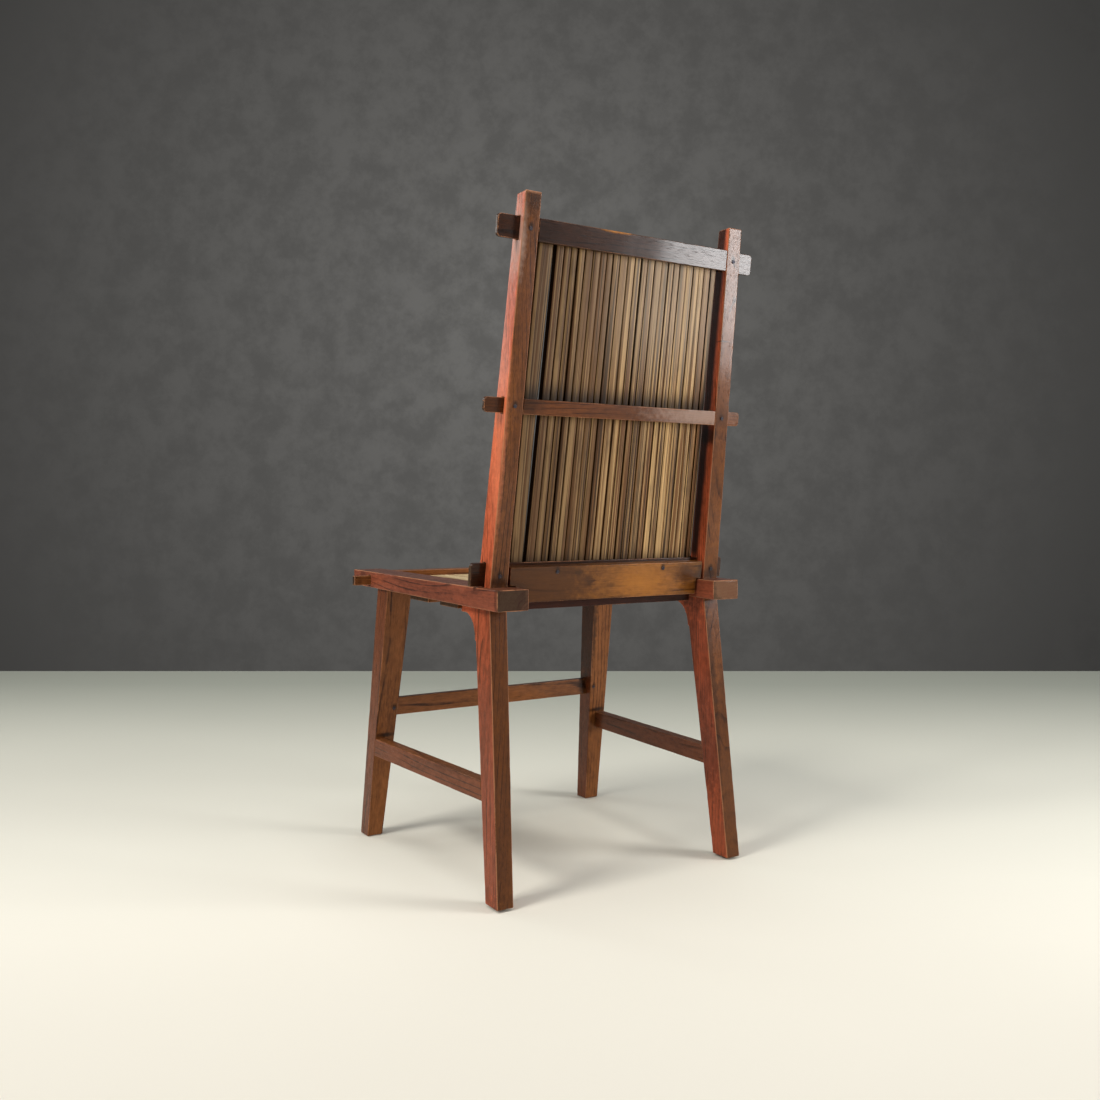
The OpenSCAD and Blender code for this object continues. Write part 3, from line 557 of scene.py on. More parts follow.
def parts(tree, vector):
    """The X, Y and Z of a vector."""
    return add_node(tree, "ShaderNodeSeparateXYZ", {0: vector}).outputs


def object_place(tree):
    return add_node(tree, "ShaderNodeTexCoord").outputs["Object"]


def scaled(values, factor):
    """A colour or a place, each of its values times a factor."""
    return tuple(factor * value for value in values)


def squeeze(tree, place, share):
    """A place with its way along the grain made shorter, which draws a pattern out."""
    return vector_maths(tree, "MULTIPLY", place, (1, 1, share))


def noise_value(tree, vector, scale, detail=2.0, rough=0.5):
    made = add_node(
        tree, "ShaderNodeTexNoise",
        {"Vector": vector, "Scale": scale, "Detail": detail, "Roughness": rough},
    )
    return made.outputs["Fac"]


def grain_noise(tree, place, key):
    """One of the wood's noises, drawn out along the grain."""
    share, scale, detail, rough = NOISES[key]
    return noise_value(tree, squeeze(tree, place, share), scale, detail, rough)


def ramp(tree, value, low, high, to_low=0.0, to_high=1.0, shape="LINEAR"):
    """The value between two limits, as a share."""
    made = add_node(
        tree, "ShaderNodeMapRange",
        {"Value": value, "From Min": low, "From Max": high, "To Min": to_low, "To Max": to_high},
        interpolation_type=shape,
    )
    return made.outputs["Result"]


def window(tree, value, low, high, to_low=0.0, to_high=1.0):
    """The value between two limits, as a smooth share."""
    return ramp(tree, value, low, high, to_low, to_high, "SMOOTHSTEP")


def mix_colours(tree, share, a, b):
    made = add_node(tree, "ShaderNodeMix", {0: share}, data_type="RGBA")
    for slot_index, colour in ((6, a), (7, b)):
        if isinstance(colour, bpy.types.NodeSocket):
            tree.links.new(colour, made.inputs[slot_index])
        else:
            made.inputs[slot_index].default_value = (*colour[:3], 1)
    return made.outputs[2]


def new_group(name, inputs, outputs):
    """A shader node group. Each input and output is (name, socket type, default)."""
    group = bpy.data.node_groups.new(name, "ShaderNodeTree")
    for way, rows in (("INPUT", inputs), ("OUTPUT", outputs)):
        for label, kind, default in rows:
            made = group.interface.new_socket(name=label, in_out=way, socket_type=kind)
            if default is not None:
                made.default_value = default
    given = group.nodes.new("NodeGroupInput").outputs
    return group, given, group.nodes.new("NodeGroupOutput").inputs


def place_group(tree, group, inputs):
    return add_node(tree, "ShaderNodeGroup", inputs, node_tree=group).outputs


FLOAT, VECTOR = "NodeSocketFloat", "NodeSocketVector"


def grain_group():
    """Growth rings round the pith, streaks along the grain, open pores, clouds and mottling."""
    name = "Timber grain"
    if name in bpy.data.node_groups:
        return bpy.data.node_groups[name]
    tree, given, out = new_group(
        name,
        [("Timber", VECTOR, None), ("Ring", FLOAT, 0.004)],
        [(label, FLOAT, None) for label in ("Rings", "Streaks", "Pores", "Clouds", "Mottle")],
    )
    place = given["Timber"]
    radius = vector_maths(tree, "LENGTH", squeeze(tree, place, 0), output="Value")
    swayed = [(grain_noise(tree, place, key), reach) for key, reach in RING_SWAY.items()]
    radius = weighted_sum(tree, radius, *swayed)
    phase = maths(tree, "FRACT", maths(tree, "DIVIDE", radius, given["Ring"]))
    late = times(tree, window(tree, phase, *LATE_WOOD), window(tree, phase, *EARLY_WOOD))
    broken = window(tree, grain_noise(tree, place, "broken rings"), *RING_BREAKS)
    tree.links.new(times(tree, late, broken), out["Rings"])
    for label, limits in GRAIN_LIMITS.items():
        value = grain_noise(tree, place, label.lower())
        tree.links.new(window(tree, value, *limits), out[label])
    return tree


def wear_group():
    """Where an eased edge is worn bare, broken up by fine and coarse noise."""
    name = "Edge wear"
    if name in bpy.data.node_groups:
        return bpy.data.node_groups[name]
    tree, given, out = new_group(
        name,
        [("Timber", VECTOR, None), ("Eased", FLOAT, 0.0), ("Amount", FLOAT, 0.5)],
        [("Bare", FLOAT, None)],
    )
    coarse = grain_noise(tree, given["Timber"], "edge wear")
    fine = noise_value(tree, given["Timber"], *EDGE_GRIT)
    level = weighted_sum(tree, coarse, (fine, 0.5), (given["Amount"], 0.5))
    share = window(tree, level, *BARE_LEVEL)
    tree.links.new(times(tree, share, given["Eased"]), out["Bare"])
    return tree


def mark_group():
    """A soft mark round a point: one inside its core, nothing past its reach, with a ragged rim."""
    name = "Soft mark"
    if name in bpy.data.node_groups:
        return bpy.data.node_groups[name]
    inputs = [
        ("Place", VECTOR, None), ("Middle", VECTOR, (0, 0, 0)), ("Reach", VECTOR, (1, 1, 1)),
        ("Core", FLOAT, 0.3),
    ]
    tree, given, out = new_group(name, inputs, [("Mask", FLOAT, None)])
    offset = vector_maths(tree, "SUBTRACT", given["Place"], given["Middle"])
    share = vector_maths(tree, "DIVIDE", offset, given["Reach"])
    distance = vector_maths(tree, "LENGTH", share, output="Value")
    rag = maths(tree, "SUBTRACT", noise_value(tree, given["Place"], *MARK_NOISE), 0.5)
    ragged = weighted_sum(tree, distance, (rag, MARK_RAG))
    tree.links.new(window(tree, ragged, 1.0, given["Core"]), out["Mask"])
    return tree


def attribute(tree, name, output="Fac"):
    return add_node(tree, "ShaderNodeAttribute", attribute_name=name).outputs[output]


def new_material(name):
    """An empty material with its Principled shader."""
    material = bpy.data.materials.new(name)
    material.use_nodes = True
    tree = material.node_tree
    tree.nodes.clear()
    shader = add_node(tree, "ShaderNodeBsdfPrincipled")
    out = add_node(tree, "ShaderNodeOutputMaterial")
    tree.links.new(shader.outputs[0], out.inputs["Surface"])
    return material, tree, shader


def add_bump(tree, shader, height, strength, distance):
    given = {"Height": height, "Strength": strength, "Distance": distance}
    tree.links.new(add_node(tree, "ShaderNodeBump", given).outputs[0], shader.inputs["Normal"])


def add_marks(tree, body, marks):
    """Lays marks over a colour. A mark is (middle, reach, core, colour, strength), in mm."""
    place = object_place(tree)
    for middle, reach, core, colour, strength in marks:
        mask = place_group(tree, mark_group(), {
            "Place": place, "Middle": scaled(middle, MM), "Reach": scaled(reach, MM), "Core": core,
        })["Mask"]
        body = mix_colours(tree, times(tree, mask, strength), body, colour)
    return body


def painted_corner_shade(tree, where, sideways):
    """Painted shade on the uprights' inner faces beside the slats, which lean as the back does."""
    depth = weighted_sum(tree, where["Y"], (where["Z"], -BACK_LEAN))
    inner = window(tree, maths(tree, "ABSOLUTE", where["X"]), *CORNER_ASIDE)
    corner_shade = times(tree, window(tree, depth, *CORNER_DEPTH), times(tree, inner, sideways))
    return times(tree, corner_shade, window(tree, where["Z"], *CORNER_HEIGHT))


def timber_finish(name, key, ring=0.006, wear=0.5, roughness=0.3, coat=0.6, polish=0.17, marks=()):
    """Old oiled hardwood: fine grain, redder side faces, sawn ends, bare edges, marks and painted
    shade beside the slats.
    """
    if name in bpy.data.materials:
        return bpy.data.materials[name]
    c = colours()
    light, dark = getattr(c, key + "_light"), getattr(c, key + "_dark")
    side = getattr(c, key + "_red", light)
    material, tree, shader = new_material(name)
    place = attribute(tree, "timber", "Vector")
    grain = place_group(tree, grain_group(), {"Timber": place, "Ring": ring})
    bare = place_group(
        tree, wear_group(), {"Timber": place, "Eased": attribute(tree, "eased"), "Amount": wear}
    )["Bare"]
    sawn = window(tree, attribute(tree, "sawn"), *SAWN_FACING)
    facing = parts(tree, add_node(tree, "ShaderNodeNewGeometry").outputs["Normal"])
    sideways = window(tree, maths(tree, "ABSOLUTE", facing["X"]), *SIDE_FACING)
    body = mix_colours(tree, times(tree, sideways, SIDE_TINT), light, side)
    body = mix_colours(tree, window(tree, facing["Z"], *TOP_FACING, 0, TOP_TINT), body, dark)
    body = mix_colours(tree, sawn, body, c.end_grain)
    layers = [(grain[label], weight) for label, weight in GRAIN_SHADES.items()]
    body = mix_colours(tree, weighted_sum(tree, 0.0, *layers, clamp=True), body, dark)
    pore = scaled(dark, PORE_SHADE)
    body = mix_colours(tree, times(tree, grain["Pores"], PORE_TINT), body, pore)
    body = add_marks(tree, body, marks)
    where = parts(tree, object_place(tree))
    # Painted shade in the corner beside the slats darkens the colour and takes away the gloss
    corner_shade = painted_corner_shade(tree, where, sideways)
    body = mix_colours(tree, corner_shade, body, c.grime_and_shade)
    body = mix_colours(tree, times(tree, bare, BARE_TINT), body, c.worn)
    tree.links.new(body, shader.inputs["Base Color"])
    coarse = ((grain["Mottle"], MOTTLE_ROUGH), (maths(tree, "ADD", bare, sawn), BARE_ROUGH))
    rough = weighted_sum(tree, roughness, *coarse, clamp=True)
    tree.links.new(rough, shader.inputs["Roughness"])
    handled = window(tree, where["Z"], *HANDLED)
    dry = maths(tree, "ADD", grain["Pores"], bare)
    gloss = times(tree, window(tree, dry, 0, 1, 1, DRY_GLOSS), coat)
    gloss = times(tree, gloss, maths(tree, "SUBTRACT", handled, corner_shade, clamp=True))
    tree.links.new(gloss, shader.inputs["Coat Weight"])
    shader.inputs["Coat Roughness"].default_value = polish
    shader.inputs["Specular IOR Level"].default_value = TIMBER_SPECULAR
    cuts = [(grain[label], weight) for label, weight in GRAIN_DEPTHS.items()]
    add_bump(tree, shader, weighted_sum(tree, 0.0, *cuts), GRAIN_BUMP, RELIEF)
    return material


def stripes(tree, place, key):
    """Long stripes across a slat, that only drift along it."""
    shift, scale, low, high, strength = STRIPES[key]
    moved = vector_maths(tree, "ADD", place, (shift, 0, shift))
    value = noise_value(tree, squeeze(tree, moved, STRIPE_SQUEEZE), scale, 2, 0.5)
    return window(tree, value, low, high, 0, strength)


def bamboo_finish(name, light, brown, dark, jointed=False, shade=0.0, grime_and_shade=()):
    """Split bamboo: stripes in four tones, each strip its own, and where asked painted shade in the
    joints.
    """
    if name in bpy.data.materials:
        return bpy.data.materials[name]
    material, tree, shader = new_material(name)
    place = attribute(tree, "timber", "Vector")
    chance = add_node(
        tree, "ShaderNodeTexWhiteNoise", {"W": attribute(tree, "strip")}, noise_dimensions="1D"
    )
    own = add_node(tree, "ShaderNodeSeparateColor", {0: chance.outputs["Color"]}).outputs
    where = parts(tree, object_place(tree))
    fibre = grain_noise(tree, place, "fibre")
    patch = grain_noise(tree, place, "patches")
    # Painted sheen: paler slats high up on the -X side, where the lamp reflects
    upper_right_sheen = times(
        tree, window(tree, where["X"], *SHEEN_ACROSS), window(tree, where["Z"], *SHEEN_UP)
    )
    # Painted shade: the slats darker towards the upright on the +X side
    dim = times(tree, window(tree, where["X"], *SHADED_ACROSS), shade)
    # Painted shade on the slats' sides, the dark joints between them
    joint = window(tree, attribute(tree, "edge"), *JOINT_EDGE)
    deep = weighted_sum(tree, JOINT_SHADE, (own["Blue"], JOINT_OWN))
    c = colours()
    body = mix_colours(tree, stripes(tree, place, "light"), brown, light)
    for share, colour in (
        (stripes(tree, place, "gold"), c.bamboo_gold),
        (times(tree, own["Red"], STRIP_RED), c.bamboo_red),
        (stripes(tree, place, "dark"), dark),
        (stripes(tree, place, "pale"), scaled(light, PALE_STRIPE)),
        (window(tree, fibre, *FIBRE_DARK), dark),
        (window(tree, patch, *PATCH_DARK), dark),
        (times(tree, own["Green"], STRIP_DARK), dark),
        (upper_right_sheen, c.upper_right_sheen),
        (dim, scaled(brown, SHADOW)),
        (times(tree, joint, deep), c.grime_and_shade),
    ):
        body = mix_colours(tree, share, body, colour)
    # Darker bands just above the given heights, fading upwards
    for low, high, strength in grime_and_shade:
        rag = maths(tree, "SUBTRACT", fibre, 0.5)
        ragged = weighted_sum(tree, where["Z"], (rag, BAND_RAG))
        above = window(tree, ragged, MM * low, MM * high, strength, 0)
        under = window(tree, where["Z"], MM * (low - 3), MM * low)
        body = mix_colours(tree, times(tree, above, under), body, c.grime_and_shade)
    tree.links.new(body, shader.inputs["Base Color"])
    coarse = ((fibre, FIBRE_ROUGH), (joint, JOINT_ROUGH))
    rough = weighted_sum(tree, BAMBOO_ROUGHNESS, *coarse, clamp=True)
    tree.links.new(rough, shader.inputs["Roughness"])
    specular = shader.inputs["Specular IOR Level"]
    specular.default_value = BAMBOO_SPECULAR
    if jointed:
        left = times(tree, maths(tree, "SUBTRACT", 1.0, joint), BAMBOO_SPECULAR)
        tree.links.new(left, specular)
    add_bump(tree, shader, fibre, BAMBOO_BUMP, RELIEF)
    return material


def iron_finish():
    """Forged iron, dull and a little rusty."""
    name = "Old iron"
    if name in bpy.data.materials:
        return bpy.data.materials[name]
    material, tree, shader = new_material(name)
    place = object_place(tree)
    rust = window(tree, noise_value(tree, place, *RUST_NOISE), *RUST_LIMITS)
    body = mix_colours(tree, rust, colours().iron, colours().rust)
    tree.links.new(body, shader.inputs["Base Color"])
    metal = maths(tree, "SUBTRACT", IRON_METAL, rust, clamp=True)
    tree.links.new(metal, shader.inputs["Metallic"])
    tree.links.new(window(tree, rust, 0, 1, *IRON_ROUGH), shader.inputs["Roughness"])
    add_bump(tree, shader, noise_value(tree, place, *HAMMER_NOISE), IRON_BUMP, 0.8 * RELIEF)
    return material


def nail_places(node, across=0.03):
    """Middles of a node's nail heads in mm: points this near to each other are one nail."""
    heads = []
    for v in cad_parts[node].data.vertices:
        for head in heads:
            if (v.co - head[0]).length < across:
                head.append(v.co.copy())
                break
        else:
            heads.append([v.co.copy()])
    return [max(head, key=lambda co: co.y) / MM for head in heads]


def nail_stains(node):
    """A dark ring of iron stain in the wood round each nail."""
    reach, core, strength = NAIL_STAIN
    return [(place, reach, core, colours().grime_and_shade, strength) for place in nail_places(node)]


def post_wood():
    """The uprights: stained and bleached tips, darker at the joints and on the lower legs, a
    painted highlight on the left side, and painted shade on the right inner face, under the mid
    rail, at the side rails and on the right rear leg.
    """
    c = colours()
    marks = nail_stains("upright_nails") + [
        ((180, 262, 978), (22, 16, 30), 0.2, c.grime_and_shade, 0.7),
        ((182, 256, 991), (26, 26, 7), 0.3, c.worn, 0.7),
        ((-176, 236, 818), (18, 20, 2.2), 0.2, c.grime_and_shade, 0.8),
        ((-186, 222, 700), (22, 14, 26), 0.1, c.leg_dark, 0.7),
        # Painted highlight on the left upright's lit side
        ((206, 210, 690), (12, 50, 260), 0.3, c.flush, 0.35),
        # Painted shade on the right upright's inner face beside the slats
        ((-170, 222, 860), (12, 40, 230), 0.3, c.grime_and_shade, 0.3),
        ((198, 240, 930), (14, 50, 80), 0.2, c.grey_stain_and_sheen, 0.65),
        # Painted shadow of the mid rail on the right upright's inner face
        ((-174, 200, 672), (10, 40, 22), 0.3, c.grime_and_shade, 0.85),
        ((200, 180, 210), (60, 180, 245), 0.88, c.leg_dark, 0.42),
        ((224, 180, 200), (16, 180, 300), 0.85, c.leg_dark, 0.3),
        # Painted light: the left bracket takes the bright side colour
        ((200, 118, 410), (30, 32, 34), 0.2, c.post_red, 0.4),
        ((-215, 180, 100), (42, 180, 230), 0.7, c.leg_dark, 0.42),
        # Painted shade on the right upright's inner face, lower down
        ((-172, 200, 600), (12, 60, 190), 0.4, c.leg_dark, 0.25),
        # Painted shadow of the seat on the right rear leg's side
        ((-184, 180, 240), (14, 180, 210), 0.6, c.grime_and_shade, 0.5),
        # Painted shade where the uprights leave the side rails
        ((192, 182, 452), (22, 14, 14), 0.2, c.grime_and_shade, 0.6),
        ((-192, 182, 452), (22, 14, 14), 0.2, c.grime_and_shade, 0.6),
        # Painted shade under the side rail on the right rear leg
        ((-190, 150, 410), (24, 60, 30), 0.1, c.grime_and_shade, 0.75),
    ]
    return timber_finish("Post wood", "post", wear=0.72, coat=0.5, marks=marks)


def leg_wood():
    """The front legs, stretchers and small rails: painted shade at the stretcher joints, a painted
    shadow of the seat on the right leg's side, and dirt at the front corners of the seat.
    """
    c = colours()
    marks = nail_stains("stretcher_nails") + [
        # Painted shade where the side stretchers meet the front legs
        ((214, -176, 176), (26, 12, 6), 0.2, c.grime_and_shade, 0.85),
        ((-214, -176, 176), (26, 12, 6), 0.2, c.grime_and_shade, 0.85),
        # Painted shadow of the seat on the right front leg's side
        ((-186, -180, 330), (16, 60, 160), 0.6, c.grime_and_shade, 0.7),
        ((264, -205, 439), (26, 24, 18), 0.3, c.grime_and_shade, 0.75),
        ((-264, -205, 439), (26, 24, 18), 0.3, c.grime_and_shade, 0.75),
    ]
    return timber_finish("Leg wood", "leg", ring=0.008, wear=0.4, marks=marks)


def rail_wood():
    """The side rails: painted shade on the left block end and painted light on the right one, dirt
    in front, and painted shade along the lower edge over the bearers.
    """
    c = colours()
    marks = [
        # Painted shade on the left block's end, which the lamp doesn't reach
        ((207, 223, 432), (42, 12, 30), 0.75, c.grime_and_shade, 0.42),
        # Painted light: the right block's end, which the lamp lights, is made paler with the worn
        # colour
        ((-207, 223, 432), (42, 12, 30), 0.75, c.worn, 0.22),
        ((232, -221, 447), (14, 20, 14), 0.1, c.grime_and_shade, 0.6),
        # Painted shade along the rail's lower edge over the bearers
        ((232, 130, 418), (8, 90, 10), 0.2, c.grime_and_shade, 0.5),
    ]
    return timber_finish("Side rail wood", "rail", wear=0.6, roughness=0.34, marks=marks)


def dark_wood():
    """The top rail, rubbed to gold in the middle, and the lower cross rail."""
    c = colours()
    marks = [
        ((39, 253, 956), (42, 9, 5), 0.3, c.gilt_and_sheen, 0.8),
        ((160, 245, 940), (40, 20, 40), 0.1, c.grime_and_shade, 0.5),
    ]
    return timber_finish("Back rail wood", "dark", wear=0.35, polish=0.14, marks=marks)


def mid_wood():
    """The mid rail: dark on the left, and a grey painted sheen on the right."""
    c = colours()
    marks = [
        ((170, 219, 700), (44, 20, 30), 0.1, c.grime_and_shade, 0.6),
        ((225, 210, 700), (34, 30, 30), 0.5, c.grime_and_shade, 0.5),
        # Painted sheen: the lamp's grey reflection on the right of the mid rail
        ((-150, 219, 700), (150, 20, 30), 0.1, c.grey_stain_and_sheen, 0.6),
    ]
    return timber_finish("Mid rail wood", "mid", wear=0.45, coat=0.45, marks=marks)


def hidden_wood():
    """The seat rail under the back board, dark with painted shade."""
    return timber_finish("Under rail wood", "hidden", wear=0.2, coat=0.2)


def board_wood():
    """The back board: painted shade on the left, a gold painted sheen between, and at the right end
    a painted reflection of the block and painted shade.
    """
    c = colours()
    marks = [
        # Painted shade: darker on the left, where the board catches no reflection
        ((125, 180, 448), (150, 30, 80), 0.3, c.board_dark, 0.85),
        # Painted sheen: gold where the lamps and the floor reflect in the board
        ((-60, 180, 446), (70, 30, 45), 0.1, c.gilt_and_sheen, 0.4),
        # Painted reflection: the dark image of the right block in the glossy board
        ((-146, 180, 454), (34, 20, 26), 0.2, c.board_dark, 0.85),
        # Painted shade beside the right upright
        ((-176, 180, 440), (20, 30, 60), 0.1, c.grime_and_shade, 0.8),
        ((60, 180, 462), (14, 20, 7), 0.1, c.grime_and_shade, 0.5),
        ((0, 180, 440), (12, 20, 6), 0.1, c.grime_and_shade, 0.4),
        # Painted shade along the board's lower edge
        ((0, 180, 418), (180, 30, 6), 0.1, c.grime_and_shade, 0.5),
    ] + nail_stains("board_nails")
    return timber_finish("Board wood", "board", wear=0.35, marks=marks)


def back_bamboo():
    """The back's slats, with darker bands just over the board and over the mid rail."""
    c = colours()
    grime_and_shade = ((462, 500, 0.85), (712, 742, 0.8))
    return bamboo_finish(
        "Back bamboo", c.bamboo_light, c.bamboo_brown, c.bamboo_dark, True, 0.62, grime_and_shade
    )


def seat_bamboo():
    """The seat's paler slats."""
    c = colours()
    return bamboo_finish("Seat bamboo", c.straw_light, c.straw_light, c.straw_dark)


# Operators


class CHAIR_OT_uprights(bpy.types.Operator):
    """Build the two rear uprights with their brackets"""

    bl_idname = "chair.uprights"
    bl_label = "Rear uprights"

    def execute(self, context):
        add_pair("rear_upright", post_wood(), 1, True, True)
        return {"FINISHED"}


class CHAIR_OT_legs(bpy.types.Operator):
    """Build the two front legs"""

    bl_idname = "chair.legs"
    bl_label = "Front legs"

    def execute(self, context):
        add_pair("front_leg", leg_wood(), 3, True)
        return {"FINISHED"}


class CHAIR_OT_seat_frame(bpy.types.Operator):
    """Build the side rails, the front and rear rails of the seat and its bearers"""

    bl_idname = "chair.seat_frame"
    bl_label = "Seat frame"

    def execute(self, context):
        add_pair("side_rail", rail_wood(), 5)
        add_row(
            7, ("front_seat_rail", leg_wood()), ("rear_seat_rail", hidden_wood()),
            ("seat_bearer_front", leg_wood()), ("seat_bearer_rear", leg_wood()),
        )
        return {"FINISHED"}


class CHAIR_OT_stretchers(bpy.types.Operator):
    """Build the three stretchers"""

    bl_idname = "chair.stretchers"
    bl_label = "Stretchers"

    def execute(self, context):
        add_row(
            11, ("side_stretcher_left", leg_wood()), ("side_stretcher_right", leg_wood()),
            ("front_stretcher", leg_wood()),
        )
        return {"FINISHED"}


class CHAIR_OT_back_rails(bpy.types.Operator):
    """Build the three rails of the back with their through tenons"""

    bl_idname = "chair.back_rails"
    bl_label = "Rails of the back"

    def execute(self, context):
        add_row(
            14, ("top_rail", dark_wood()), ("mid_rail", mid_wood()),
            ("lower_cross_rail", dark_wood()),
        )
        return {"FINISHED"}


class CHAIR_OT_back_board(bpy.types.Operator):
    """Build the nailed board at the foot of the back"""

    bl_idname = "chair.back_board"
    bl_label = "Back board"

    def execute(self, context):
        add_timber("back_board", board_wood(), "board_wood", sizes().ear_arris, 17)
        return {"FINISHED"}


class CHAIR_OT_back_slats(bpy.types.Operator):
    """Build the split bamboo of the back"""

    bl_idname = "chair.back_slats"
    bl_label = "Slats of the back"

    def execute(self, context):
        blank = slat_blank()
        for seed, name in enumerate(numbered("back_slat_"), 1):
            corners = ends_of_slat(name, Z_AXIS, Y_AXIS)
            bent = (sizes().bow, sizes().flare) if seed == 1 else (0, 0)
            add_slat(blank, name, corners, back_bamboo(), "back_bamboo", seed, *bent)
        blank.free()
        return {"FINISHED"}


class CHAIR_OT_seat_slats(bpy.types.Operator):
    """Build the split bamboo of the seat"""

    bl_idname = "chair.seat_slats"
    bl_label = "Slats of the seat"

    def execute(self, context):
        for seed, name in enumerate(numbered("seat_slat_"), 40):
            bm = node_mesh(name)
            grain = grain_frame(bm)
            ease_arrises(bm, sizes().ear_arris)
            for axis in (X_AXIS, Y_AXIS):
                slice_across(bm, axis, sizes().station / 2)
            write_timber_space(bm, grain, seed)
            wear_down(bm, seed)
            strip = bm.verts.layers.float.new("strip")
            for v in bm.verts:
                v[strip] = seed
            add_piece(bm, name + "_strip", seat_bamboo(), "seat_bamboo", name)
        return {"FINISHED"}


class CHAIR_OT_iron(bpy.types.Operator):
    """Build the nails and the glides"""

    bl_idname = "chair.iron"
    bl_label = "Nails and glides"

    def execute(self, context):
        for name in ("upright_nails", "board_nails", "stretcher_nails", "foot_glides"):
            add_piece(node_mesh(name), name + "_iron", iron_finish(), "iron", name)
        return {"FINISHED"}


# Stage

CAMERA_PLACE = (0.9291, 1.5209, 0.5521)
CAMERA_AZIMUTH = 146.965
CAMERA_TURN = math.radians(CAMERA_AZIMUTH)
CAMERA_LINE = Vector((-math.sin(CAMERA_TURN), math.cos(CAMERA_TURN), 0))
CAMERA_RIGHT = CAMERA_LINE.cross(Z_AXIS)
CAMERA_LENS = 35.216
CAMERA_SHIFT = (-0.02645, -0.03503)
# The backdrop's near wall stands this far behind the chair, and the other three further off
WALL_NEAR = 1.94
WALL_FAR = 3.2
WALL_HEIGHT = 5.0
# Where its soft glow is brightest, to the camera's right and upwards, and how far off it fades
WALL_GLOW = (-0.15, 1.2)
WALL_FADE = 2.4
FLOOR_RADIUS = 7.0
# Along the camera's line from the chair: where the floor's far and near tones begin and end
FLOOR_FAR = (-0.3, 1.75)
FLOOR_NEAR = (-0.05, -0.7)
FLOOR_WANDER, FLOOR_ROUGHNESS = 0.2, 0.75
# The backdrop's glow, faded part and clouds, as shares of its colour
WALL_BRIGHT, WALL_DARK, WALL_CLOUD = 1.7, 0.42, 0.6
CLOUD_LIMITS = (0.35, 0.65, 0, 0.4)
WORLD_COLOUR = (0.92, 0.96, 1.0, 1)
WORLD_STRENGTH = 0.14
# Lamps: place, target, width, height, power, colour
LAMPS = {
    "Key lamp": ((3.94, 0.5, 3.5), (0, 0.1, 0.45), 1.5, 1.5, 172, (1, 0.97, 0.93)),
    "Fill lamp": ((-1.97, 2.07, 1.17), (-0.1, 0.2, 0.85), 0.9, 1.1, 56, (1, 1, 1)),
    "Front lamp": ((1.15, -2.05, 1.6), (0.15, 0.1, 0.8), 0.55, 1.2, 6, (1, 1, 1)),
    "Top lamp": ((0.1, 0.3, 3.6), (0.1, 0.3, 0), 3.0, 3.0, 66, (1, 1, 1)),
}


def add_lamp(name, place, target, width, height, power, colour):
    """A soft rectangular lamp that the camera doesn't see."""
    data = bpy.data.lights.new(name, "AREA")
    data.shape = "RECTANGLE"
    data.size, data.size_y = width, height
    data.energy = power
    data.color = colour
    lamp = link_object(name, data)
    lamp.location = place
    lamp.rotation_euler = (Vector(target) - Vector(place)).to_track_quat("-Z", "Y").to_euler()
    lamp.visible_camera = False


def add_stage_mesh(name, bm, material):
    made = link_mesh(name, bm, material)
    return made


def floor_finish():
    """A plain pale floor, with painted shade that makes it a little darker towards the backdrop and
    towards the camera.
    """
    material, tree, shader = new_material("Pale floor")
    place = object_place(tree)
    distance = vector_maths(tree, "DOT_PRODUCT", place, CAMERA_LINE, output="Value")
    along = weighted_sum(tree, distance, (noise_value(tree, place, *FLOOR_NOISE), FLOOR_WANDER))
    c = colours()
    body = mix_colours(tree, ramp(tree, along, *FLOOR_FAR), c.floor, c.floor_far)
    body = mix_colours(tree, ramp(tree, along, *FLOOR_NEAR), body, c.floor_near)
    tree.links.new(body, shader.inputs["Base Color"])
    shader.inputs["Roughness"].default_value = FLOOR_ROUGHNESS
    return material


def wall_finish():
    """A plain backdrop that shines with its own light, so that it takes none from the lamps: a
    painted pool of light, brightest to the camera's right and upwards, that fades off.
    """
    material = bpy.data.materials.new("Grey backdrop")
    material.use_nodes = True
    tree = material.node_tree
    tree.nodes.clear()
    place = object_place(tree)
    middle = CAMERA_LINE * WALL_NEAR + CAMERA_RIGHT * WALL_GLOW[0] + Z_AXIS * WALL_GLOW[1]
    offset = vector_maths(tree, "SUBTRACT", place, middle)
    distance = vector_maths(tree, "LENGTH", offset, output="Value")
    cloud = window(tree, noise_value(tree, place, *WALL_NOISE), *CLOUD_LIMITS)
    tint = colours().wall
    away = ramp(tree, distance, 0.0, WALL_FADE)
    tone = mix_colours(tree, away, scaled(tint, WALL_BRIGHT), scaled(tint, WALL_DARK))
    tone = mix_colours(tree, cloud, tone, scaled(tint, WALL_CLOUD))
    glow = add_node(tree, "ShaderNodeEmission", {"Color": tone, "Strength": 1.0})
    out = add_node(tree, "ShaderNodeOutputMaterial")
    tree.links.new(glow.outputs[0], out.inputs["Surface"])
    return material


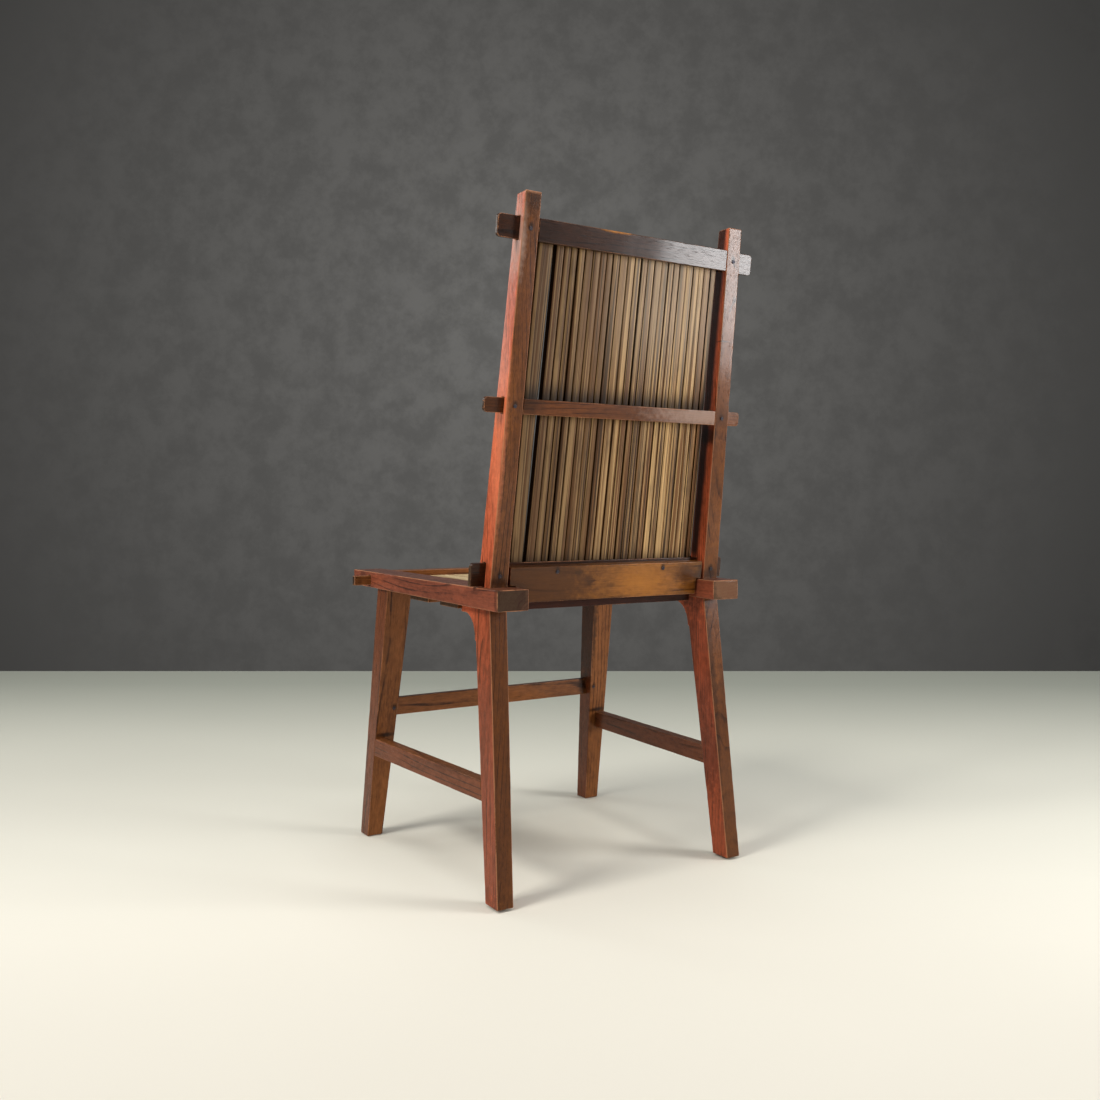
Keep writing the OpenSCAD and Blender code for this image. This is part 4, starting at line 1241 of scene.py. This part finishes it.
class CHAIR_OT_stage(bpy.types.Operator):
    """Build the floor, the backdrop, the lamps and the camera"""

    bl_idname = "chair.stage"
    bl_label = "Stage"

    def execute(self, context):
        floor = bmesh.new()
        bmesh.ops.create_circle(floor, cap_ends=True, segments=96, radius=FLOOR_RADIUS)
        add_stage_mesh("pale_floor", floor, floor_finish())
        wall = bmesh.new()
        bmesh.ops.create_cube(wall, size=2)
        ends = [f for f in wall.faces if abs(f.normal.z) > 0.5]
        bmesh.ops.delete(wall, geom=ends, context="FACES_ONLY")
        bmesh.ops.reverse_faces(wall, faces=wall.faces)
        for v in wall.verts:
            depth = WALL_NEAR if v.co.y > 0 else -WALL_FAR
            level = CAMERA_LINE * depth + CAMERA_RIGHT * v.co.x * WALL_FAR
            v.co = level + Z_AXIS * max(0, v.co.z) * WALL_HEIGHT
        backdrop = add_stage_mesh("grey_backdrop", wall, wall_finish())
        for flag in ("visible_diffuse", "visible_glossy", "visible_transmission", "visible_shadow"):
            setattr(backdrop, flag, False)
        world = bpy.data.worlds.new("Soft room")
        world.use_nodes = True
        sky = world.node_tree.nodes["Background"].inputs
        sky["Color"].default_value = WORLD_COLOUR
        sky["Strength"].default_value = WORLD_STRENGTH
        context.scene.world = world
        for name, settings in LAMPS.items():
            add_lamp(name, *settings)
        camera = link_object("Camera", bpy.data.cameras.new("Camera"))
        camera.location = CAMERA_PLACE
        camera.rotation_euler = (math.radians(90), 0, CAMERA_TURN)
        camera.data.lens = CAMERA_LENS
        camera.data.shift_x, camera.data.shift_y = CAMERA_SHIFT
        context.scene.camera = camera
        context.scene.view_settings.view_transform = "Standard"
        return {"FINISHED"}


STEPS = (
    CHAIR_OT_uprights, CHAIR_OT_legs, CHAIR_OT_seat_frame, CHAIR_OT_stretchers,
    CHAIR_OT_back_rails, CHAIR_OT_back_board, CHAIR_OT_back_slats, CHAIR_OT_seat_slats,
    CHAIR_OT_iron, CHAIR_OT_stage,
)


class CHAIR_PT_sidebar(bpy.types.Panel):
    """The chair's sizes, colours and pieces"""

    bl_idname = "CHAIR_PT_sidebar"
    bl_label = "Bamboo slat chair"
    bl_space_type = "VIEW_3D"
    bl_region_type = "UI"
    bl_category = "Chair"

    def draw(self, context):
        for group in (context.scene.chair_sizes, context.scene.chair_colours):
            column = self.layout.column(align=True)
            for key in group.bl_rna.properties.keys():
                if key not in ("rna_type", "name"):
                    column.prop(group, key)
        column = self.layout.column(align=True)
        for step in STEPS:
            column.operator(step.bl_idname)


CLASSES = (ChairSizes, ChairColours, *STEPS, CHAIR_PT_sidebar)


def register():
    for item in CLASSES:
        bpy.utils.register_class(item)
    bpy.types.Scene.chair_sizes = PointerProperty(type=ChairSizes)
    bpy.types.Scene.chair_colours = PointerProperty(type=ChairColours)


def unregister():
    del bpy.types.Scene.chair_colours
    del bpy.types.Scene.chair_sizes
    for item in reversed(CLASSES):
        bpy.utils.unregister_class(item)


def main():
    register()
    for step in STEPS:
        family, action = step.bl_idname.split(".")
        getattr(getattr(bpy.ops, family), action)()


if __name__ == "__main__":
    main()
